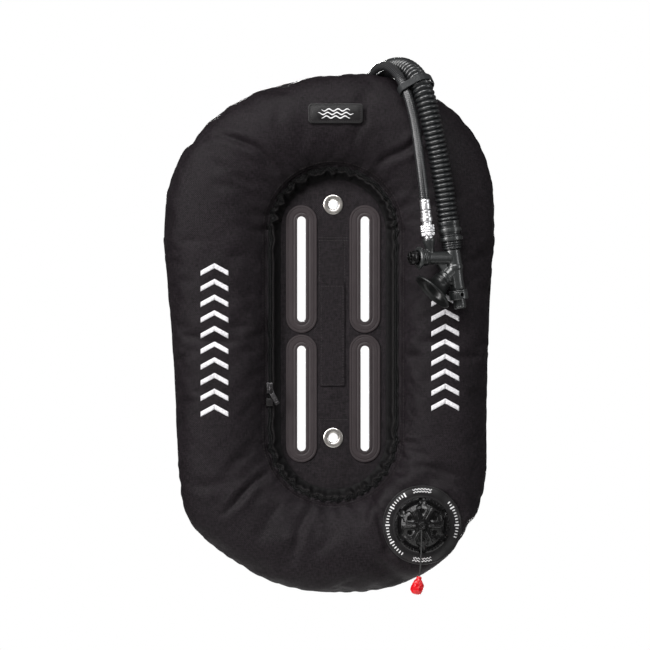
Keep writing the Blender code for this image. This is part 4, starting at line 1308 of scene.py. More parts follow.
def ring_sheet(name, section, push, paint, replaced):
    """A gathered sheet round the ring. The section holds (reach, depth, share of the waves)."""
    heights, angles, sideways, deep = zip_wave(SHEET_SPACING)
    section = np.array(section, float)
    reach = section[:, 0][None] + push[0] * sideways[:, None] * section[:, 2][None]
    depth = section[:, 1][None] + push[1] * deep[:, None] * section[:, 2][None]
    obj = sheet(name, ring_points(heights, angles, reach, depth), (True, False))
    finer = obj.modifiers.new("Finer", "SUBSURF")
    finer.levels = finer.render_levels = 1
    thicken(obj, 0.8, 0)
    apply_modifiers(obj)
    obj.data.shade_smooth()
    finish_object(obj, paint, "wing", (replaced,))
    width = max(float(np.hypot(*np.diff(section[:, :2], axis=0).T).sum()), LEAST_WIDTH)


def make_coil():
    """Two rows of loops, one on each side of the zipper's line."""
    line = zip_line(ZIP_LINE, COIL_DEPTH, 0.5)
    line = np.vstack([line, line[:1]])
    along = lengths_along(line)
    count = int(along[-1] // COIL_PITCH)
    where = np.arange(count) * along[-1] / count
    spots = np.stack([np.interp(where, along, axis) for axis in line.T], 1)
    ahead = unit(np.stack([np.interp(where + 0.5, along, axis) for axis in line.T], 1) - spots)
    side = unit(np.cross(ahead, (0.0, -1.0, 0.0)))
    up = np.cross(side, ahead)
    # (distance from the line, height, radius of the wire), from the inner end to the outer.
    wire = ((-0.35, 0.5, 0.3), (0.3, 0.95, 0.55), (1.7, 0.9, 0.6), (2.7, 0.4, 0.5), (2.9, -0.2, 0.35))
    turn = np.linspace(0, 2 * np.pi, 6, endpoint=False)[:, None]
    loops = []
    for sign in (-1, 1):
        for away, rise, fat in wire:
            middle = spots + side * sign * away + up * rise + ahead * (0.25 * COIL_PITCH * sign)
            round_it = ahead[:, None] * np.cos(turn) * 0.95 + up[:, None] * np.sin(turn)
            loops.append(middle[:, None] + fat * round_it)
    points = np.stack(loops, 1).reshape(-1, 3)
    base = grid_faces(5, 6, (False, True))
    faces = np.concatenate([base, base + 30])
    faces = (faces[None] + 60 * np.arange(count)[:, None, None]).reshape(-1, 4)
    chain = add_mesh("zipper_coil", points, faces.tolist(), 0)
    tidy(chain, 0)
    finish_object(chain, TEETH, "wing", ("zipper_chain",))


def make_zipper():
    tape = (
        (70.2, -12.2, 0.9), (72.2, -13.0, 1), (74.0, -12.7, 1), (76.0, -12.5, 1), (78.0, -12.7, 1),
        (79.6, -12.9, 1),
    )
    ring_sheet("zipper_tape_sewn", tape, ZIP_PUSH, TAPE, "zipper_tape")
    make_coil()
    gusset = (
        (73.2, -11.8, 0.2), (72.0, -10.6, 0.6), (70.6, -8.2, 1.0), (69.6, -5.6, 1.0),
        (68.2, -3.2, 0.8), (66.6, -1.2, 0.5), (65.0, 0.3, 0.2), (63.2, 0.9, 0.0),
    )
    # The gusset's darker fabric carries painted shade for its recess.
    ring_sheet("gusset_gathered", gusset, GUSSET_PUSH, SHADED_GUSSET_FABRIC, "gusset")
    path = zip_line(72.0, TAPE_DEPTH, SHEET_SPACING)
    row = (path, facing(path, FRONT), True)
    stitches("zipper_stitches", [row], THREAD, length=2.0, gap=0.9, radius=0.26)


make_zipper()


def rounded_box(name, size, place, rotation, bevel):
    bm = bmesh.new()
    bmesh.ops.create_cube(bm, size=1.0)
    bmesh.ops.scale(bm, vec=Vector(size) * MM, verts=bm.verts)
    bmesh.ops.bevel(
        bm, geom=bm.edges, offset=bevel * MM, segments=3, profile=0.5, affect="EDGES",
    )
    matrix = Matrix.Translation(Vector(place) * MM) @ rotation.to_4x4()
    bmesh.ops.transform(bm, matrix=matrix, verts=bm.verts)
    return from_bmesh(name, bm)


def joined(name, pieces):
    """One object that holds the meshes of several."""
    bm = bmesh.new()
    for piece in pieces:
        bm.from_mesh(piece.data)
        bpy.data.objects.remove(piece)
    return from_bmesh(name, bm)


UPRIGHT = Matrix.Identity(3)


def make_slider():
    low, high = corners("zipper_slider")
    x, _, z = (low + high) / 2
    top = low[1]
    pieces = [rounded_box("plate", (7.2, 1.2, 12.6), (x, top + 4.0, z), UPRIGHT, 0.55)]
    for sign in (-1, 1):
        place = (x + 2.9 * sign, top + 4.9, z)
        pieces.append(rounded_box("flange", (1.6, 1.2, 12.6), place, UPRIGHT, 0.4))
    bridge = ((3.4, 2.6), (0.9, 1.5), (0.55, -1.0), (0.9, -3.4), (3.4, -4.6))
    arch = smooth_route([(x, top + depth, z + height) for depth, height in bridge], 0.5)
    pieces.append(tube("bridge", arch, 0.6, 10))
    cast = joined("zipper_slider_cast", pieces)
    finish_object(cast, GUNMETAL, "zip_slider", ("zipper_slider",))


def make_pull():
    joint = next(joint for joint in frame["joints"] if joint["name"] == "zip_pull_swing")
    eye = np.array(joint["pos_m"]) / MM
    axis = joint_axis("zip_pull_swing")
    down = np.cross(axis, (0.0, 1.0, 0.0))
    down = down if down[2] < 0 else -down
    turn = Matrix((axis, np.cross(axis, down), down)).transposed()

    def at(distance, offset=0.0):
        return eye + down * distance + axis * offset

    parts = [tube("pin", np.array([at(0, offset) for offset in (-3.2, -1, 1, 3.2)]), 0.62, 10)]
    arm = ((-0.4, 2.9), (2.0, 3.0), (4.4, 2.7), (6.5, 2.3))
    for sign in (-1, 1):
        spots = [at(distance, sign * offset) for distance, offset in arm]
        parts.append(tube("arm", smooth_route(spots, 0.6), 0.62, 10))
    parts.append(rounded_box("blade", (5.6, 1.2, 14.6), at(13.4), turn, 0.5))
    for distance in (12.0, 15.0, 18.0):
        parts.append(rounded_box("rib", (4.0, 1.6, 0.9), at(distance), turn, 0.35))
    cast = joined("zipper_pull_cast", parts)
    finish_object(cast, GUNMETAL, "zip_pull", ("zipper_pull",))


def make_garage():
    x, y, z = centre("zipper_garage")
    tab = rounded_box("zipper_garage_tab", (8.4, 1.6, 9.4), (x, y - 0.2, z), UPRIGHT, 0.6)
    finish_object(tab, LABEL_VINYL, "wing", ("zipper_garage",))
    frame_line = ((-3, -3.6), (3, -3.6), (3, 3.6), (-3, 3.6))
    line = np.array([(x + across, y - 1.05, z + up) for across, up in frame_line])
    sides = [np.linspace(a, b, 6, endpoint=False) for a, b in zip(line, np.roll(line, -1, axis=0))]
    path = np.concatenate(sides)
    row = (path, facing(path, FRONT), True)
    stitches("garage_stitches", [row], THREAD, length=1.6, gap=0.6, radius=0.24)


make_slider()
make_pull()
make_garage()


# Panel reinforcements.

SLOT_WIDTH = 10.2
PATCH_STITCH = {"length": 2.3, "gap": 0.9, "radius": 0.26}


def stadium(size, middle, steps=20):
    """A closed line with straight sides and half-round ends."""
    radius = size[0] / 2
    straight = size[1] / 2 - radius
    points = []
    for end, start in ((straight, 0.0), (-straight, math.pi)):
        for angle in np.linspace(start, start + math.pi, steps + 1):
            points.append((
                middle[0] + radius * math.cos(angle), middle[1] + end + radius * math.sin(angle),
            ))
    return dense(np.array(points), 3.0)


def dense(points, spacing):
    """The closed line with extra points along its straight runs."""
    found = []
    for start, end in zip(points, np.roll(points, -1, axis=0)):
        count = max(1, int(np.linalg.norm(end - start) // spacing))
        found += [start + (end - start) * step / count for step in range(count)]
    return np.array(found)


def offset_line(line, distance):
    """A closed anticlockwise line, moved inward by a distance."""
    ahead = unit(np.roll(line, -1, axis=0) - np.roll(line, 1, axis=0))
    return line + np.stack([-ahead[:, 1], ahead[:, 0]], 1) * distance


def band(name, outer, profile):
    """A moulded strip inside a closed line. The profile holds (distance inward, y) pairs."""
    rows = [raised(offset_line(outer, inward), depth) for inward, depth in profile]
    obj = sheet(name, np.stack(rows, 1), (True, True))
    tidy(obj, 30)
    return obj


def faces_of(node, side):
    """The y of a flat piece's outer face and of its back, on the front or the back of the wing."""
    low, high = corners(node)
    return (low[1], high[1]) if side < 0 else (high[1], low[1])


def make_slot_patch(node, side):
    """One slot's patch. The rows of stitches on it are returned."""
    low, high = corners(node)
    size = (high - low)[[0, 2]]
    outer = stadium(size, centre(node)[[0, 2]])
    top, under = faces_of(node, side)
    inset = (size[0] - SLOT_WIDTH) / 2
    # Distances inward from the rim, and how far each lies below the top.
    line = (
        (0.0, 0.5), (0.3, 0.1), (1.0, 0.0), (2.2, 0.05), (2.6, 0.35), (3.4, 0.35), (3.8, 0.05),
        (7.0, 0.0), (8.6, 0.0), (9.2, 0.3), (9.8, 0.0), (inset - 1.2, 0.0), (inset - 0.4, 0.12),
        (inset - 0.05, 0.5),
    )
    profile = [(0.0, under), *((inward, top - drop * side) for inward, drop in line), (inset, under)]
    patch = band(node + "_moulded", outer, profile)
    finish_object(patch, PATCH_VINYL, "wing", (node,))
    return [
        flat_row(offset_line(outer, inward), top - depth * side, side)
        for inward, depth in ((3.0, 0.32), (inset - 2.6, 0.0))
    ]


def make_slot_patches():
    rows = []
    for face, side in (("front", -1), ("back", 1)):
        for level in ("upper", "lower"):
            for where in ("left", "right"):
                rows += make_slot_patch(f"slot_patch_{face}_{level}_{where}", side)
    stitches("slot_patch_stitches", rows, PALE_THREAD, slot="patch_vinyl", **PATCH_STITCH)


def make_centre_patches():
    rows = []
    for face, side in (("front", -1), ("back", 1)):
        node = "centre_patch_" + face
        low, high = corners(node)
        top, under = faces_of(node, side)
        outer = rectangle(low[[0, 2]], high[[0, 2]], 2.0)
        patch = plate_from(node + "_sewn", outer, [(0, under), (0, top - 0.4 * side), (0.5, top)])
        finish_object(patch, PANEL_FABRIC, "wing", (node,))
        rows.append(flat_row(offset_line(outer, 2.2), top, side))
        panel = faces_of("centre_panel", side)[0]
        for height in (100.0, 96.5, -118.0):
            across = np.array([(x, height) for x in np.linspace(-18, 18, 14)])
            rows.append(flat_row(across, panel, side, closed=False))
        for x in (-16.0, 14.0):
            upright = np.array([(x, z) for z in np.linspace(high[2] + 3, 98, 16)])
            rows.append(flat_row(upright, panel, side, closed=False))
    stitches("centre_patch_stitches", rows, PALE_THREAD, slot="patch_vinyl", **PATCH_STITCH)


def rectangle(low, high, corner):
    """A closed line round a box, with round corners."""
    points = []
    (left, bottom), (right, top) = low + corner, high - corner
    spots = (
        (right, top, 0.0), (left, top, 0.5 * math.pi),
        (left, bottom, math.pi), (right, bottom, 1.5 * math.pi),
    )
    for x, z, start in spots:
        for angle in np.linspace(start, start + 0.5 * math.pi, 7):
            points.append((x + corner * math.cos(angle), z + corner * math.sin(angle)))
    return dense(np.array(points), 3.0)


def plate_from(name, outer, profile):
    """A plate whose rim follows a profile and whose middle is one flat face."""
    rows = [raised(offset_line(outer, inward), depth) for inward, depth in profile]
    obj = sheet(name, np.stack(rows, 1), (True, False))
    bm = bmesh.new()
    bm.from_mesh(obj.data)
    loops = [edge for edge in bm.edges if edge.is_boundary]
    bmesh.ops.holes_fill(bm, edges=loops, sides=0)
    bmesh.ops.triangulate(bm, faces=[face for face in bm.faces if len(face.verts) > 4])
    bmesh.ops.recalc_face_normals(bm, faces=bm.faces)
    bm.to_mesh(obj.data)
    bm.free()
    smooth_shaded(obj.data, 30)
    return obj


def make_grommets():
    for name in ("upper", "lower"):
        low, high = corners("grommet_" + name)
        place = (low + high) / 2 * (1, 0, 1)
        outer, front, rear = (high[0] - low[0]) / 2, -low[1], -high[1]
        rim = (
            (outer - 0.6, front - 1.1), (outer, front - 0.9), (outer, front - 0.5),
            (outer - 0.8, front - 0.1), (10.2, front), (8.4, front - 0.05), (6.9, front - 0.35),
            (6.05, front - 1.0), (5.75, front - 1.9), (5.75, rear + 0.3), (6.0, rear), (6.7, rear),
            (6.95, rear + 0.3), (6.95, front - 1.1), (outer - 0.6, front - 1.1),
        )
        eyelet = lathe(f"grommet_{name}_pressed", rim, place, FRONT, 72, 0.25)
        finish_object(eyelet, NICKEL, "wing", ("grommet_" + name,))
        washer_low, washer_high = corners("grommet_washer_" + name)
        face, back = -washer_low[1], -washer_high[1]
        ring = (
            (7.3, face), (outer, face), (outer, back + 0.4), (outer - 0.7, back), (9.4, back),
            (8.0, back + 0.3), (7.3, back + 0.4), (7.3, face),
        )
        washer = lathe(f"grommet_washer_{name}_pressed", ring, place, FRONT, 72, 0.2)
        finish_object(washer, NICKEL, "wing", ("grommet_washer_" + name,))


def make_label():
    low, high = corners("label_patch")
    outer = rectangle(low[[0, 2]], high[[0, 2]], 4.0)
    face, rear = low[1], high[1]
    patch = plate_from("label_patch_moulded", outer, [(0, rear), (0, face + 0.35), (0.5, face + 0.1)])
    finish_object(patch, LABEL_VINYL, "wing", ("label_patch",))
    ridge = ((0, 0.3), (0.1, -0.1), (0.8, -0.2), (1.4, -0.1), (1.5, 0.3))
    rim = band("label_rim", offset_line(outer, 0.6), [(inward, face + y) for inward, y in ridge])
    finish_object(rim, LABEL_VINYL, "wing")
    row = flat_row(offset_line(outer, 3.0), face + 0.1, -1)
    stitches("label_stitches", [row], PALE_THREAD, slot="patch_vinyl", length=1.9, gap=0.8, radius=0.24)
    middle = (low + high) / 2
    strips = []
    for number, (height, half) in enumerate(((4.2, 17.0), (0.0, 21.0), (-4.2, 17.0))):
        x = np.linspace(-half, half, 61)
        wave = 1.3 * np.sin(2 * np.pi * x / 11.0 + 0.8 * number)
        z = middle[2] + height + wave
        half_thick = 0.75 * np.sqrt(np.clip(1 - (x / half) ** 4, 0.05, 1))
        rows = [
            raised(np.stack([middle[0] + x, z + share * half_thick], 1), face + y)
            for share, y in ((-1, 0.12), (-0.9, -0.12), (0.9, -0.12), (1, 0.12))
        ]
        strips.append(sheet("wave", np.stack(rows, 1)))
    finish_object(joined("label_waves", strips), INK, "wing")


def make_panel():
    """The centre panel, cut finely enough to dip a little between its seams."""
    low, high = corners("centre_panel")
    bm = bmesh.new()
    bm.from_mesh(frame["nodes"]["centre_panel"].data)
    for axis in (0, 2):
        for value in np.arange(low[axis] + 2.5, high[axis], 4.0):
            place, normal = Vector((0, 0, 0)), Vector((0, 0, 0))
            place[axis], normal[axis] = value * MM, 1.0
            everything = bm.verts[:] + bm.edges[:] + bm.faces[:]
            bmesh.ops.bisect_plane(bm, geom=everything, dist=1e-7, plane_co=place, plane_no=normal)
    middle = (low[1] + high[1]) / 2
    for vertex in bm.verts:
        x, y, z = vertex.co / MM
        swell = 0.5 + 0.5 * math.sin(x / 8.0 + 1.3 * math.sin(z / 31.0)) * math.sin(z / 19.0 + 0.7)
        vertex.co.y += (0.55 if y < middle else -0.55) * swell * MM
    panel = from_bmesh("centre_panel_sewn", bm)
    finish_object(panel, PANEL_FABRIC, "wing", ("centre_panel",))


make_slot_patches()
make_centre_patches()
make_grommets()
make_label()
make_panel()


# Turned and moulded pieces.

def turned(node, suffix, profile, place, axis, paint, slot, body="wing", **shape):
    settings = {"steps": 64, "fillet": 0.35, "sharp": 40, **shape}
    obj = lathe(f"{node}_{suffix}", profile, place, axis, **settings)
    return finish_object(obj, paint, body, (node,))


def ring_section(inner, outer, low, high):
    return ((inner, low), (outer, low), (outer, high), (inner, high), (inner, low))


def knurled(count, depth, low, high, beyond):
    """Grooves along a turned piece between two heights, outside a radius."""
    def shape(angle, radii, heights):
        groove = depth * (0.5 - 0.5 * np.cos(count * angle)) ** 2
        inside = (heights > low) & (heights < high) & (radii > beyond)
        return np.where(inside, radii - groove, radii), heights
    return shape


def moulded(name, pieces, grain, passes=6):
    """Several closed shapes run into one body with small fillets between them."""
    obj = joined(name, pieces)
    remesh = obj.modifiers.new("Remesh", "REMESH")
    remesh.mode = "VOXEL"
    remesh.voxel_size = grain * MM
    soften = obj.modifiers.new("Soften", "SMOOTH")
    soften.factor = 0.5
    soften.iterations = passes
    apply_modifiers(obj)
    obj.data.shade_smooth()
    return obj


def make_tie(node, place, axis, inner):
    """A cable tie round an axis, with its lock on the side that faces away from the diver."""
    axis = unit(axis)

    def ribs(angle, radii, heights):
        rib = 0.04 * np.cos(90 * angle) * (np.abs(heights) < 1.5)
        return np.where(radii > inner + 0.9, radii + rib, radii), heights

    section = ring_section(inner + 0.05, inner + 1.25, -2.2, 2.2)
    strap = lathe("strap", section, place, axis, 180, 0.3, ribs)
    side = unit(unit(np.cross(axis, REAR)) + REAR)
    across = np.cross(axis, side)
    turn = Matrix((side, across, axis)).transposed()
    lock = rounded_box("lock", (4.8, 4.2, 5.0), place + side * (inner + 2.6), turn, 0.7)
    tail_place = place + side * (inner + 2.4) + across * 2.6
    tail = rounded_box("tail", (1.1, 5.5, 3.4), tail_place, turn, 0.3)
    tie = joined(node + "_moulded", [strap, lock, tail])
    finish_object(tie, PLASTIC, "wing", (node,))


# Dump valve.

VALVE_PLACE = np.array((VALVE[0], -CREST, VALVE[1]))
VENT_CIRCLE = 17.0
VENT_RADIUS = 3.0
VENT_FLOOR = 12.5
CAP_STEPS = 420
PATCH_INNER = 24.8
PATCH_RADIUS = 47.3
PATCH_STEPS = 180


def line_ridge(radius, angle, heading, width, start, end):
    """A soft radial rib along one heading, as a height from 0 to 1."""
    turn = angle - heading
    across = radius * np.sin(turn)
    ahead = radius * np.cos(turn)
    along = smoothstep((ahead - start) / 1.2) * smoothstep((end - ahead) / 2.0)
    return np.exp(-((across / width) ** 2)) * along


def cap_height(radius, angle):
    """The cap's upper side: six scoops with a vent in each, between ribs, inside a raised ring."""
    height = np.interp(
        radius, (0, 6, 14, 20, 25.6, 26.6, 28.2, 29.0, 32.2, 33.0),
        (20.6, 20.2, 19.4, 18.0, 15.6, 10.9, 10.7, 12.2, 11.9, 11.0),
    )
    folded = angle % (math.pi / 3) - math.pi / 6
    across = np.abs(folded) * radius
    half = np.interp(radius, (6.5, 9, 14, 19, 23.0, 25.2), (0.1, 1.7, 4.6, 7.2, 7.8, 4.5))
    scoop = smoothstep((half - across) / 1.5) * smoothstep((radius - 6.5) / 5.0)
    height = height - 3.4 * scoop - 1.6 * scoop * (1 - across / np.maximum(half, 0.1)).clip(0, 1)
    for heading in (math.pi / 6, -math.pi / 6):
        height += 0.45 * line_ridge(radius, folded, heading, 0.5, 8, 25)
    away = np.hypot(radius * np.cos(folded) - VENT_CIRCLE, radius * np.sin(folded))
    hole = smoothstep((VENT_RADIUS + 0.4 - away) / 0.8)
    height = height * (1 - hole) + VENT_FLOOR * hole
    ring = smoothstep((radius - 29.4) / 0.4) * smoothstep((32.0 - radius) / 0.4)
    turn = np.abs(folded)
    arc = smoothstep((turn - 0.10) / 0.02) * smoothstep((0.36 - turn) / 0.02)
    tick = smoothstep((turn - 0.455) / 0.012) * smoothstep((0.485 - turn) / 0.012)
    height += ring * (0.8 * arc + 1.1 * tick)
    for sign in (-1, 1):
        height += 1.0 * line_ridge(radius, angle, -math.pi / 2 + sign * 0.38, 0.55, 6, 17)
        height += 0.9 * line_ridge(radius, angle, math.pi / 2 + sign * 1.66, 0.6, 7, 23)
    return height


def make_valve_cap():
    rings = (np.linspace(0.0, 6.0, 10), np.linspace(6.3, 26.0, 74), np.linspace(26.2, 33.0, 46))
    angles = np.linspace(0, 2 * np.pi, CAP_STEPS, endpoint=False)[:, None]
    radius = np.repeat(np.concatenate(rings)[None], CAP_STEPS, 0)
    height = cap_height(radius, angles)
    notch = 0.5 * (0.5 + 0.5 * np.cos(36 * angles)) ** 4
    wall = np.array((
        (33.0, 10.4), (33.0, 7.5), (33.0, 5.2), (32.5, 4.1), (31.2, 4.0), (30.6, 4.3), (30.6, 9.0),
        (27.5, 9.4),
    ))
    wall_radius = wall[:, 0][None] - notch * (wall[:, 0] > 32)[None]
    wall_height = np.repeat(wall[:, 1][None], CAP_STEPS, 0)
    inner = np.repeat(np.linspace(25.6, 0.0, 40)[None], CAP_STEPS, 0)
    under = cap_height(inner, angles) - np.interp(inner, (0, 4, 8), (0.5, 0.5, 0.7))
    radius = np.hstack([radius, wall_radius, inner])
    height = np.hstack([height, wall_height, under])
    across, up = VALVE[0] + radius * np.cos(angles), VALVE[1] + radius * np.sin(angles)
    cap = sheet("valve_cap_moulded", np.stack([across, -CREST - height, up], -1), (True, False))
    tidy(cap, 50)
    finish_object(cap, GLOSS, "wing", ("valve_cap",))
    hub = (
        (0, 20.05), (5.9, 20.05), (5.3, 21.0), (4.7, 25.2), (3.9, 26.6), (2.2, 26.9), (1.6, 26.3),
        (0, 26.3),
    )
    finish_object(lathe("valve_hub", hub, VALVE_PLACE, FRONT, 48, 0.4), GLOSS, "wing")


def on_patch(radius, angle, lift):
    """Points of the round patch, from radii and angles about the valve."""
    flat = [(VALVE[0] + r * math.cos(a), VALVE[1] + r * math.sin(a)) for r, a in zip(radius, angle)]
    near = smoothstep((np.array(radius) - 33.0) / 10.0)
    skin = drape(flat, -1, 0.0)
    skin[:, 1] = np.minimum(skin[:, 1], -CREST + 5.5 * near)
    skin[:, 1] = skin[:, 1] * near + (-CREST - 0.4) * (1 - near)
    return skin + FRONT * np.array(lift)[:, None]


def make_valve_patch():
    profile = (
        (PATCH_INNER, 2.6), (34.5, 2.6), (35.3, 2.4), (36.0, 2.6), (40.0, 2.6), (44.6, 2.55),
        (45.2, 2.3), (45.7, 2.6), (46.3, 3.0), (46.9, 2.8), (PATCH_RADIUS, 2.0), (PATCH_RADIUS, 1.0),
    )
    radii, lifts = zip(*profile)
    angles = np.linspace(0, 2 * math.pi, PATCH_STEPS, endpoint=False)
    rows = [on_patch(radii, [angle] * len(profile), lifts) for angle in angles]
    patch = sheet("valve_patch_moulded", np.array(rows), (True, False))
    if sum(polygon.normal.y for polygon in patch.data.polygons) > 0:
        patch.data.flip_normals()
    thicken(patch, 0.8, -1)
    apply_modifiers(patch)
    finish_object(patch, RING_RUBBER, "wing", ("valve_patch",))


def make_ring_marks():
    """Ticks along both sides of the round patch, and wavy lines at its top and bottom."""
    parts = []
    box_faces = np.array((
        (0, 1, 2, 3), (7, 6, 5, 4), (0, 4, 5, 1), (1, 5, 6, 2), (2, 6, 7, 3), (3, 7, 4, 0),
    ))
    for turn in range(0, 360, 5):
        if not (turn <= 44 or 117 <= turn <= 238 or turn >= 339):
            continue
        angle = math.radians(turn)
        long = turn % 30 == 0
        inner, outer = (38.6, 43.9) if long else (39.9, 43.2)
        half = (0.9 if long else 0.62) / 41.5
        radii = (inner, outer, outer, inner)
        turns = [angle + side * half for side in (-1, -1, 1, 1)]
        box = [on_patch(radii, turns, [lift] * 4) for lift in (2.78, 2.3)]
        parts.append((np.concatenate(box), box_faces))
    span = np.linspace(-0.27, 0.27, 37)
    section = ((-0.55, 2.4), (-0.5, 2.8), (0.5, 2.8), (0.55, 2.4))
    for middle in (math.pi / 2, -math.pi / 2):
        for row, offset in enumerate((-1.5, 1.5)):
            reach = 41.6 + offset + 0.7 * np.sin(span * 70 + row)
            line = [
                on_patch(reach + shift, middle + span, np.full(37, lift)) for shift, lift in section
            ]
            faces = grid_faces(4, 37, (False, False))[:, [0, 3, 2, 1]]
            parts.append((np.concatenate(line), faces))
    points, faces = merged(parts)
    marks = add_mesh("valve_ring_marks", points, faces.tolist(), 30)
    tidy(marks, 30)
    finish_object(marks, INK, "wing")


def make_valve_inside():
    at = (VALVE_PLACE, FRONT)
    base = (
        (23.5, 4.0), (23.5, -3.2), (28.0, -3.2), (28.0, -4.7), (19.0, -4.7), (19.0, 4.0), (23.5, 4.0),
    )
    turned("valve_base", "turned", base, *at, PLASTIC, "black_plastic")
    gasket = ring_section(19.5, 23.0, 4.3, 5.6)
    turned("valve_gasket", "turned", gasket, *at, RUBBER, "black_rubber")
    poppet = ((0, 15.8), (2.2, 15.8), (2.2, 7.4), (21.8, 7.4), (21.8, 5.9), (0, 5.9))
    turned("valve_poppet", "turned", poppet, *at, PLASTIC, "black_plastic", "dump_poppet")


make_valve_patch()
make_ring_marks()
make_valve_cap()
make_valve_inside()


# Elbow at the back.

def make_elbow():
    place = np.array((ELBOW[0], CREST, ELBOW[1]))
    flange = (
        (13.8, 2.5), (13.8, -3.2), (18.0, -3.2), (18.0, -4.7), (10.5, -4.7), (10.5, 2.5), (13.8, 2.5),
    )
    turned("elbow_flange", "turned", flange, place, REAR, PLASTIC, "black_plastic")
    gasket = ring_section(10.8, 13.8, 2.8, 4.0)
    turned("elbow_gasket", "turned", gasket, place, REAR, RUBBER, "black_rubber")
    nut = ((22.0, 9.4), (22.0, 1.6), (19.4, 1.6), (19.4, 7.8), (15.2, 7.8), (15.2, 9.4), (22.0, 9.4))
    turned("elbow_nut", "knurled", nut, place, REAR, PLASTIC, "black_plastic", steps=240, fillet=0.7,
           shape=knurled(24, 1.0, 1.8, 9.2, 20.5))
    middle = np.array((ELBOW[0], CREST + 30.0, ELBOW[1]))
    outlet = np.array((0.6, 0.0, 0.8))
    stub = (
        (0, 41.5), (6.0, 41.0), (10.5, 38.0), (13.0, 33.0), (13.5, 28.0), (13.8, 12.0), (14.6, 7.5),
        (19.0, 7.5), (19.0, 4.3), (0, 4.3),
    )
    arm = ((0, 27.5), (8.0, 27.5), (8.4, 26.5), (8.4, 14.0), (11.5, 14.0), (11.5, 0), (0, 0))
    body = moulded("elbow_body_moulded", [
        lathe("stub", stub, place, REAR, 64, 0.6), lathe("arm", arm, middle, outlet, 64, 0.6),
        lathe("collar", ((0, 11.0), (14.9, 11.0), (14.9, 13.6), (0, 13.6)), place, REAR, 64, 0.5),
    ], 0.7)
    finish_object(body, PLASTIC, "wing", ("elbow_body",))
    cuff = (
        (13.2, 29.6), (13.4, 26.0), (12.8, 25.4), (13.3, 24.6), (13.2, 19.0), (12.8, 18.4),
        (13.3, 17.6), (13.0, 14.4), (8.8, 14.4), (8.8, 29.6), (13.2, 29.6),
    )
    turned("elbow_cuff", "turned", cuff, middle, outlet, RUBBER, "black_rubber")
    make_tie("elbow_tie", middle + outlet * 21.5, outlet, 13.3)


make_elbow()


# Power inflator. Distances run along the stem, the barrel and the mouth tube.

def on_stem(distance):
    return STEM_TOP + STEM * distance


BARREL_ROOT = on_stem(BARREL_AT)
MOUTH_ROOT = on_stem(MOUTH_AT)
ON_STEM = (on_stem(0), STEM)
ON_BARREL = (BARREL_ROOT, BARREL)
ON_MOUTH = (MOUTH_ROOT, MOUTH)
ON_NIPPLE = (NIPPLE_FOOT, NIPPLE)


def along(line, distance):
    root, axis = line
    return root + axis * distance


def web(spots, thick):
    """A flat rib between corners in one plane."""
    normal = unit(np.cross(spots[1] - spots[0], spots[2] - spots[0]))
    count = len(spots)
    points = [spot + normal * side * thick / 2 for side in (-1, 1) for spot in spots]
    faces = [list(range(count))[::-1], list(range(count, 2 * count))]
    faces += [[i, (i + 1) % count, count + (i + 1) % count, count + i] for i in range(count)]
    obj = add_mesh("web", points, faces, 0)
    tidy(obj, 0)
    return obj


def make_inflator_body():
    stem = (
        (0, 14.0), (7.8, 14.0), (7.8, 34.4), (8.9, 34.6), (9.2, 36.0), (9.3, 53.0), (10.1, 53.6),
        (10.1, 57.6), (9.3, 58.4), (8.9, 60.0), (8.3, 72.0), (8.5, 82.9), (0, 82.9),
    )
    barrel = (
        (0, 0), (8.3, 0), (7.9, 12.0), (7.9, 33.6), (8.7, 34.2), (8.7, 35.8), (10.0, 36.4),
        (10.0, 38.6), (9.5, 39.0), (9.5, 39.6), (10.0, 40.0), (10.0, 41.8), (0, 41.8),
    )
    mouth = (
        (5.8, 4.0), (8.5, 4.0), (8.5, 15.0), (9.6, 15.6), (9.6, 17.2), (8.6, 17.8), (8.6, 26.8),
        (5.8, 26.8), (5.8, 4.0),
    )
    throat = ((0, 0), (8.3, 0), (8.3, 6.0), (0, 6.0))
    boss = (
        (0, 2.0), (7.2, 1.2), (7.7, 0.2), (7.7, -1.6), (6.9, -5.0), (5.4, -10.5), (4.7, -14.0),
        (5.2, -19.0), (0, -19.0),
    )
    beside = np.cross(STEM, BARREL)
    beside *= -1 if beside[1] > 0 else 1
    rib = [on_stem(distance) + BARREL * 6.4 + beside * 6.2 for distance in (58.0, 66.0, 74.0, 82.0)]
    under_barrel = (along(ON_BARREL, 9), along(ON_BARREL, 28), along(ON_MOUTH, 17))
    under_mouth = (along(ON_MOUTH, 10), along(ON_MOUTH, 25), on_stem(STEM_LOW))
    corner = (along(ON_BARREL, 17), on_stem(BARREL_AT + 15), along(ON_BARREL, -2))
    body = moulded("inflator_body_moulded", [
        lathe("stem", stem, *ON_STEM, 96, 0.3),
        lathe("barrel", barrel, *ON_BARREL, 96, 0.3),
        lathe("mouth", mouth, *ON_MOUTH, 96, 0.3),
        lathe("throat", throat, *ON_MOUTH, 64, 0.3),
        lathe("boss", boss, *ON_NIPPLE, 64, 0.4),
        web(under_barrel, 7.0), web(under_mouth, 10.5), web(corner, 9.0),
        tube("rib", np.array(rib), 0.9, 12),
    ], 0.5, 11)
    finish_object(body, PLASTIC, "wing", ("inflator_body",))


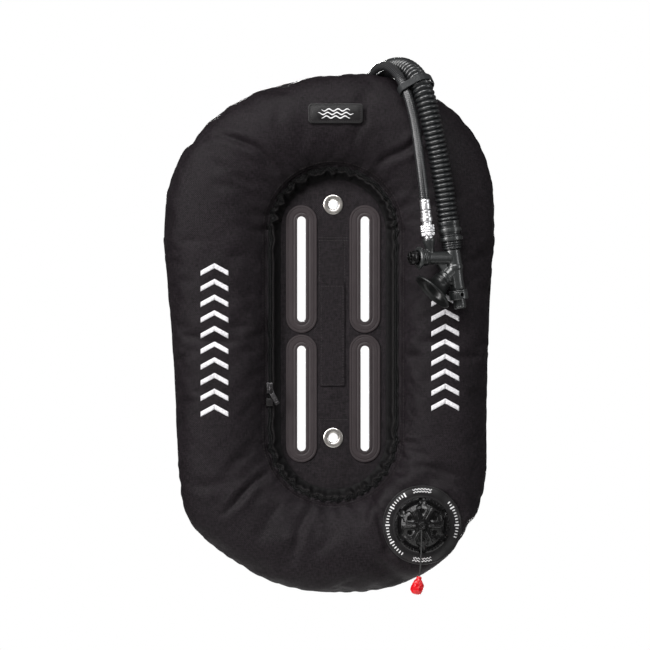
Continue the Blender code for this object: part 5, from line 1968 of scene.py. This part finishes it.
def make_inflate_button():
    retainer = (
        (13.4, 46.0), (13.5, 44.6), (13.0, 43.6), (9.8, 42.3), (3.7, 42.3), (3.7, 43.6), (8.9, 43.6),
        (8.9, 47.2), (9.2, 47.6), (10.8, 47.6), (11.4, 47.2), (12.2, 46.2), (13.4, 46.0),
    )
    turned("inflate_retainer", "turned", retainer, *ON_BARREL, PLASTIC, "black_plastic",
           fillet=0.5, steps=96)

    def star(angle, radii, heights):
        face = (heights > 56.8) & (radii > 0.5)
        blades = smoothstep((np.cos(6 * angle) + 0.35) / 0.4)
        dip = 2.4 * blades * smoothstep((radii - 1.3) / 0.5) * smoothstep((6.6 - radii) / 0.5)
        return radii, np.where(face, heights - dip, heights)

    face = [(radius, 57.4) for radius in np.linspace(0.0, 7.0, 22)]
    button = face + [
        (7.9, 56.9), (8.3, 56.0), (8.3, 53.6), (8.0, 53.3), (8.0, 52.7), (8.4, 52.4), (8.4, 49.8),
        (3.0, 49.8), (3.0, 42.0), (5.7, 41.8), (5.7, 40.0), (3.0, 40.0), (3.0, 33.0), (0, 33.0),
    ]
    turned("inflate_button", "turned", button, *ON_BARREL, GLOSS, "black_plastic", "inflate_button",
           steps=144, fillet=0.0, shape=star, sharp=30)


def make_deflate_button():
    cap = (
        (8.5, 83.3), (10.9, 83.3), (11.5, 84.0), (11.5, 85.0), (11.1, 85.3), (11.1, 85.8),
        (11.5, 86.1), (11.5, 93.8), (10.9, 94.5), (7.8, 94.5), (7.8, 91.0), (8.5, 91.0), (8.5, 83.3),
    )
    turned("deflate_cap", "turned", cap, *ON_STEM, PLASTIC, "black_plastic", steps=96, fillet=0.3)
    hole_way = np.array((0.35, -0.93, 0.05))
    hole_way = unit(hole_way - STEM * hole_way.dot(STEM))
    ring = ((2.1, 10.6), (2.1, 11.7), (2.7, 11.7), (3.1, 11.2), (3.1, 10.6), (2.1, 10.6))
    rim = lathe("deflate_vent_rim", ring, on_stem(VENT_AT), hole_way, 40, 0.15)
    finish_object(rim, PLASTIC, "wing")
    # A near-black disc sunk in the vent's mouth: painted shadow that stands in for the dark inside of
    # the hole.
    shadow_disc = ((0, 10.6), (0, 11.5), (2.2, 11.5), (2.2, 10.6), (0, 10.6))
    vent = lathe("deflate_vent_painted_shadow", shadow_disc, on_stem(VENT_AT), hole_way, 40, 0)
    finish_object(vent, PAINTED_VENT_SHADOW, "wing")
    button = (
        (0, 104.9), (5.2, 105.3), (6.4, 105.1), (7.3, 104.0), (7.4, 103.0), (7.1, 102.4),
        (7.4, 101.8), (7.4, 90.5), (8.1, 90.5), (8.1, 88.3), (3.0, 88.3), (3.0, 74.0), (0, 74.0),
    )
    turned("deflate_button", "turned", button, *ON_STEM, PLASTIC, "black_plastic", "deflate_button",
           steps=96)


def make_mouthpiece():
    """A tube whose section is an ellipse: (distance, half height, half width) along its run."""
    level = unit(np.cross(BARREL, (0.0, 0.0, 1.0)))
    rise = unit(np.cross(level, MOUTH))
    sections = (
        (20.5, 8.8, 8.8), (20.5, 10.6, 10.6), (21.1, 11.2, 11.2), (23.5, 11.2, 11.2),
        (24.2, 10.8, 10.8), (25.0, 11.2, 11.2), (28.5, 11.4, 11.3), (32.0, 13.2, 12.4),
        (35.0, 16.0, 14.2), (37.4, 20.0, 17.0), (38.9, 23.8, 19.6), (39.7, 25.5, 20.8),
        (40.6, 26.0, 21.2), (41.5, 25.9, 21.1), (42.3, 25.4, 20.6), (42.5, 24.6, 19.9),
        (42.2, 23.9, 19.2), (41.4, 22.6, 18.0), (40.4, 19.6, 15.8), (39.6, 17.6, 14.4),
        (38.4, 16.6, 13.4), (35.0, 15.2, 12.2), (31.0, 12.6, 10.6), (27.6, 8.8, 8.8),
        (20.5, 8.8, 8.8),
    )
    run = smooth_route(sections, 0.9)
    rows = []
    for angle in np.linspace(0, 2 * math.pi, 96, endpoint=False):
        upright, sideways = (1.0 + 0.02 * math.cos(2 * angle)) * math.cos(angle), math.sin(angle)
        rows.append([
            along(ON_MOUTH, distance) + rise * tall * upright + level * wide * sideways
            for distance, tall, wide in run
        ])
    mouthpiece = sheet("mouthpiece_moulded", np.array(rows), (True, False))
    tidy(mouthpiece, 60)
    finish_object(mouthpiece, MOUTH_RUBBER, "wing", ("mouthpiece",))


def make_hose_cuff():
    profile = [
        (8.2, 0.3), (13.0, 0.3), (13.2, 1.2), (13.1, 4.0), (12.5, 6.0), (12.5, 9.0), (12.4, 12.0),
        (12.4, 16.0),
    ]
    for number in range(6):
        height, radius = 16.6 + 2.9 * number, 12.4 - 0.16 * number
        profile += [
            (radius - 0.9, height), (radius, height + 0.7), (radius, height + 1.9),
            (radius - 0.9, height + 2.6),
        ]
    profile += [(11.0, 34.0), (8.2, 34.0), (8.2, 0.3)]
    turned("hose_cuff", "moulded", profile, *ON_STEM, RUBBER, "black_rubber", fillet=0.3, steps=72)
    make_tie("cable_tie_upper", on_stem(UPPER_TIE_AT), STEM, 12.55)
    make_tie("cable_tie_lower", on_stem(LOWER_TIE_AT), STEM, 12.4)


def make_coupling():
    nipple = (
        (0, 16.0), (3.9, 16.0), (4.4, 15.4), (4.4, 12.0), (3.9, 11.6), (3.9, 10.4), (4.4, 10.0),
        (4.4, 4.0), (5.4, 4.0), (5.4, 0.3), (0, 0.3),
    )
    turned("lp_nipple", "turned", nipple, *ON_NIPPLE, STEEL, "steel")
    body = (
        (0, 34.6), (5.8, 34.6), (6.3, 34.0), (6.3, 31.4), (5.9, 31.1), (5.9, 30.5), (6.3, 30.2),
        (6.3, 27.0), (6.8, 26.5), (7.1, 25.8), (7.1, 22.1), (6.8, 21.5), (5.7, 21.0), (5.7, 18.4),
        (6.0, 18.0), (6.0, 8.6), (8.0, 8.4), (8.3, 8.0), (8.3, 4.7), (7.9, 4.2), (4.8, 4.2),
        (4.8, 18.5), (0, 18.5),
    )
    turned("coupling_body", "turned", body, *ON_NIPPLE, STEEL, "steel", fillet=0.2, steps=240,
           shape=knurled(40, 0.3, 4.6, 8.1, 7.6))
    sleeve = (
        (6.35, 9.0), (8.2, 9.0), (8.5, 9.4), (8.5, 10.6), (8.0, 10.9), (8.0, 11.3), (8.5, 11.6),
        (8.5, 14.4), (8.0, 14.7), (8.0, 15.1), (8.5, 15.4), (8.5, 16.6), (8.2, 17.0), (6.35, 17.0),
        (6.35, 9.0),
    )
    turned("coupling_sleeve", "knurled", sleeve, *ON_NIPPLE, STEEL, "steel", "coupling_sleeve",
           steps=240, fillet=0.12, shape=knurled(40, 0.35, 9.2, 16.8, 8.1))
    ferrule = (
        (0, 48.0), (5.4, 48.0), (5.9, 47.6), (6.1, 47.0), (6.1, 44.6), (5.8, 44.2), (5.8, 43.6),
        (6.1, 43.2), (6.1, 36.0), (5.8, 35.3), (0, 35.3),
    )
    turned("lp_ferrule", "turned", ferrule, *ON_NIPPLE, STEEL, "steel", fillet=0.2)


make_inflator_body()
make_inflate_button()
make_deflate_button()
make_mouthpiece()
make_hose_cuff()
make_coupling()


# Springs.

def make_spring(node, radius, wire, turns, heights, line):
    """A coil of round wire between two heights along a line."""
    low, high = heights[0] + wire, heights[1] - wire
    place, ahead = line
    first, second = basis(ahead)
    ahead = unit(ahead)
    count = int(28 * turns)
    angle = np.linspace(0, 2 * math.pi * turns, count)[:, None]
    height = np.linspace(low, high, count)[:, None]
    circle = radius * (first * np.cos(angle) + second * np.sin(angle))
    spring = tube(node + "_coil", place + circle + ahead * height, wire, 10)
    finish_object(spring, STEEL, "wing", (node,))
    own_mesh(spring)


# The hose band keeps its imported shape, with rounded edges.

def soften(node, width, paint):
    obj = frame["nodes"][node]
    obj.data.materials.clear()
    obj.data.materials.append(paint)
    bevel = obj.modifiers.new("Bevel", "BEVEL")
    bevel.width = width * MM
    bevel.segments = 3
    bevel.limit_method = "ANGLE"
    bevel.angle_limit = math.radians(35)


soften("hose_band", 0.9, RUBBER)
make_spring(
    "valve_spring", 8.0, 0.5, 3.5, (7.7, 16.2), (VALVE_PLACE, FRONT),
)
make_spring("inflate_spring", 4.7, 0.45, 6.5, (22.3, 39.7), ON_BARREL)
make_spring("deflate_spring", 4.7, 0.45, 4.5, (70.3, 88.0), ON_STEM)
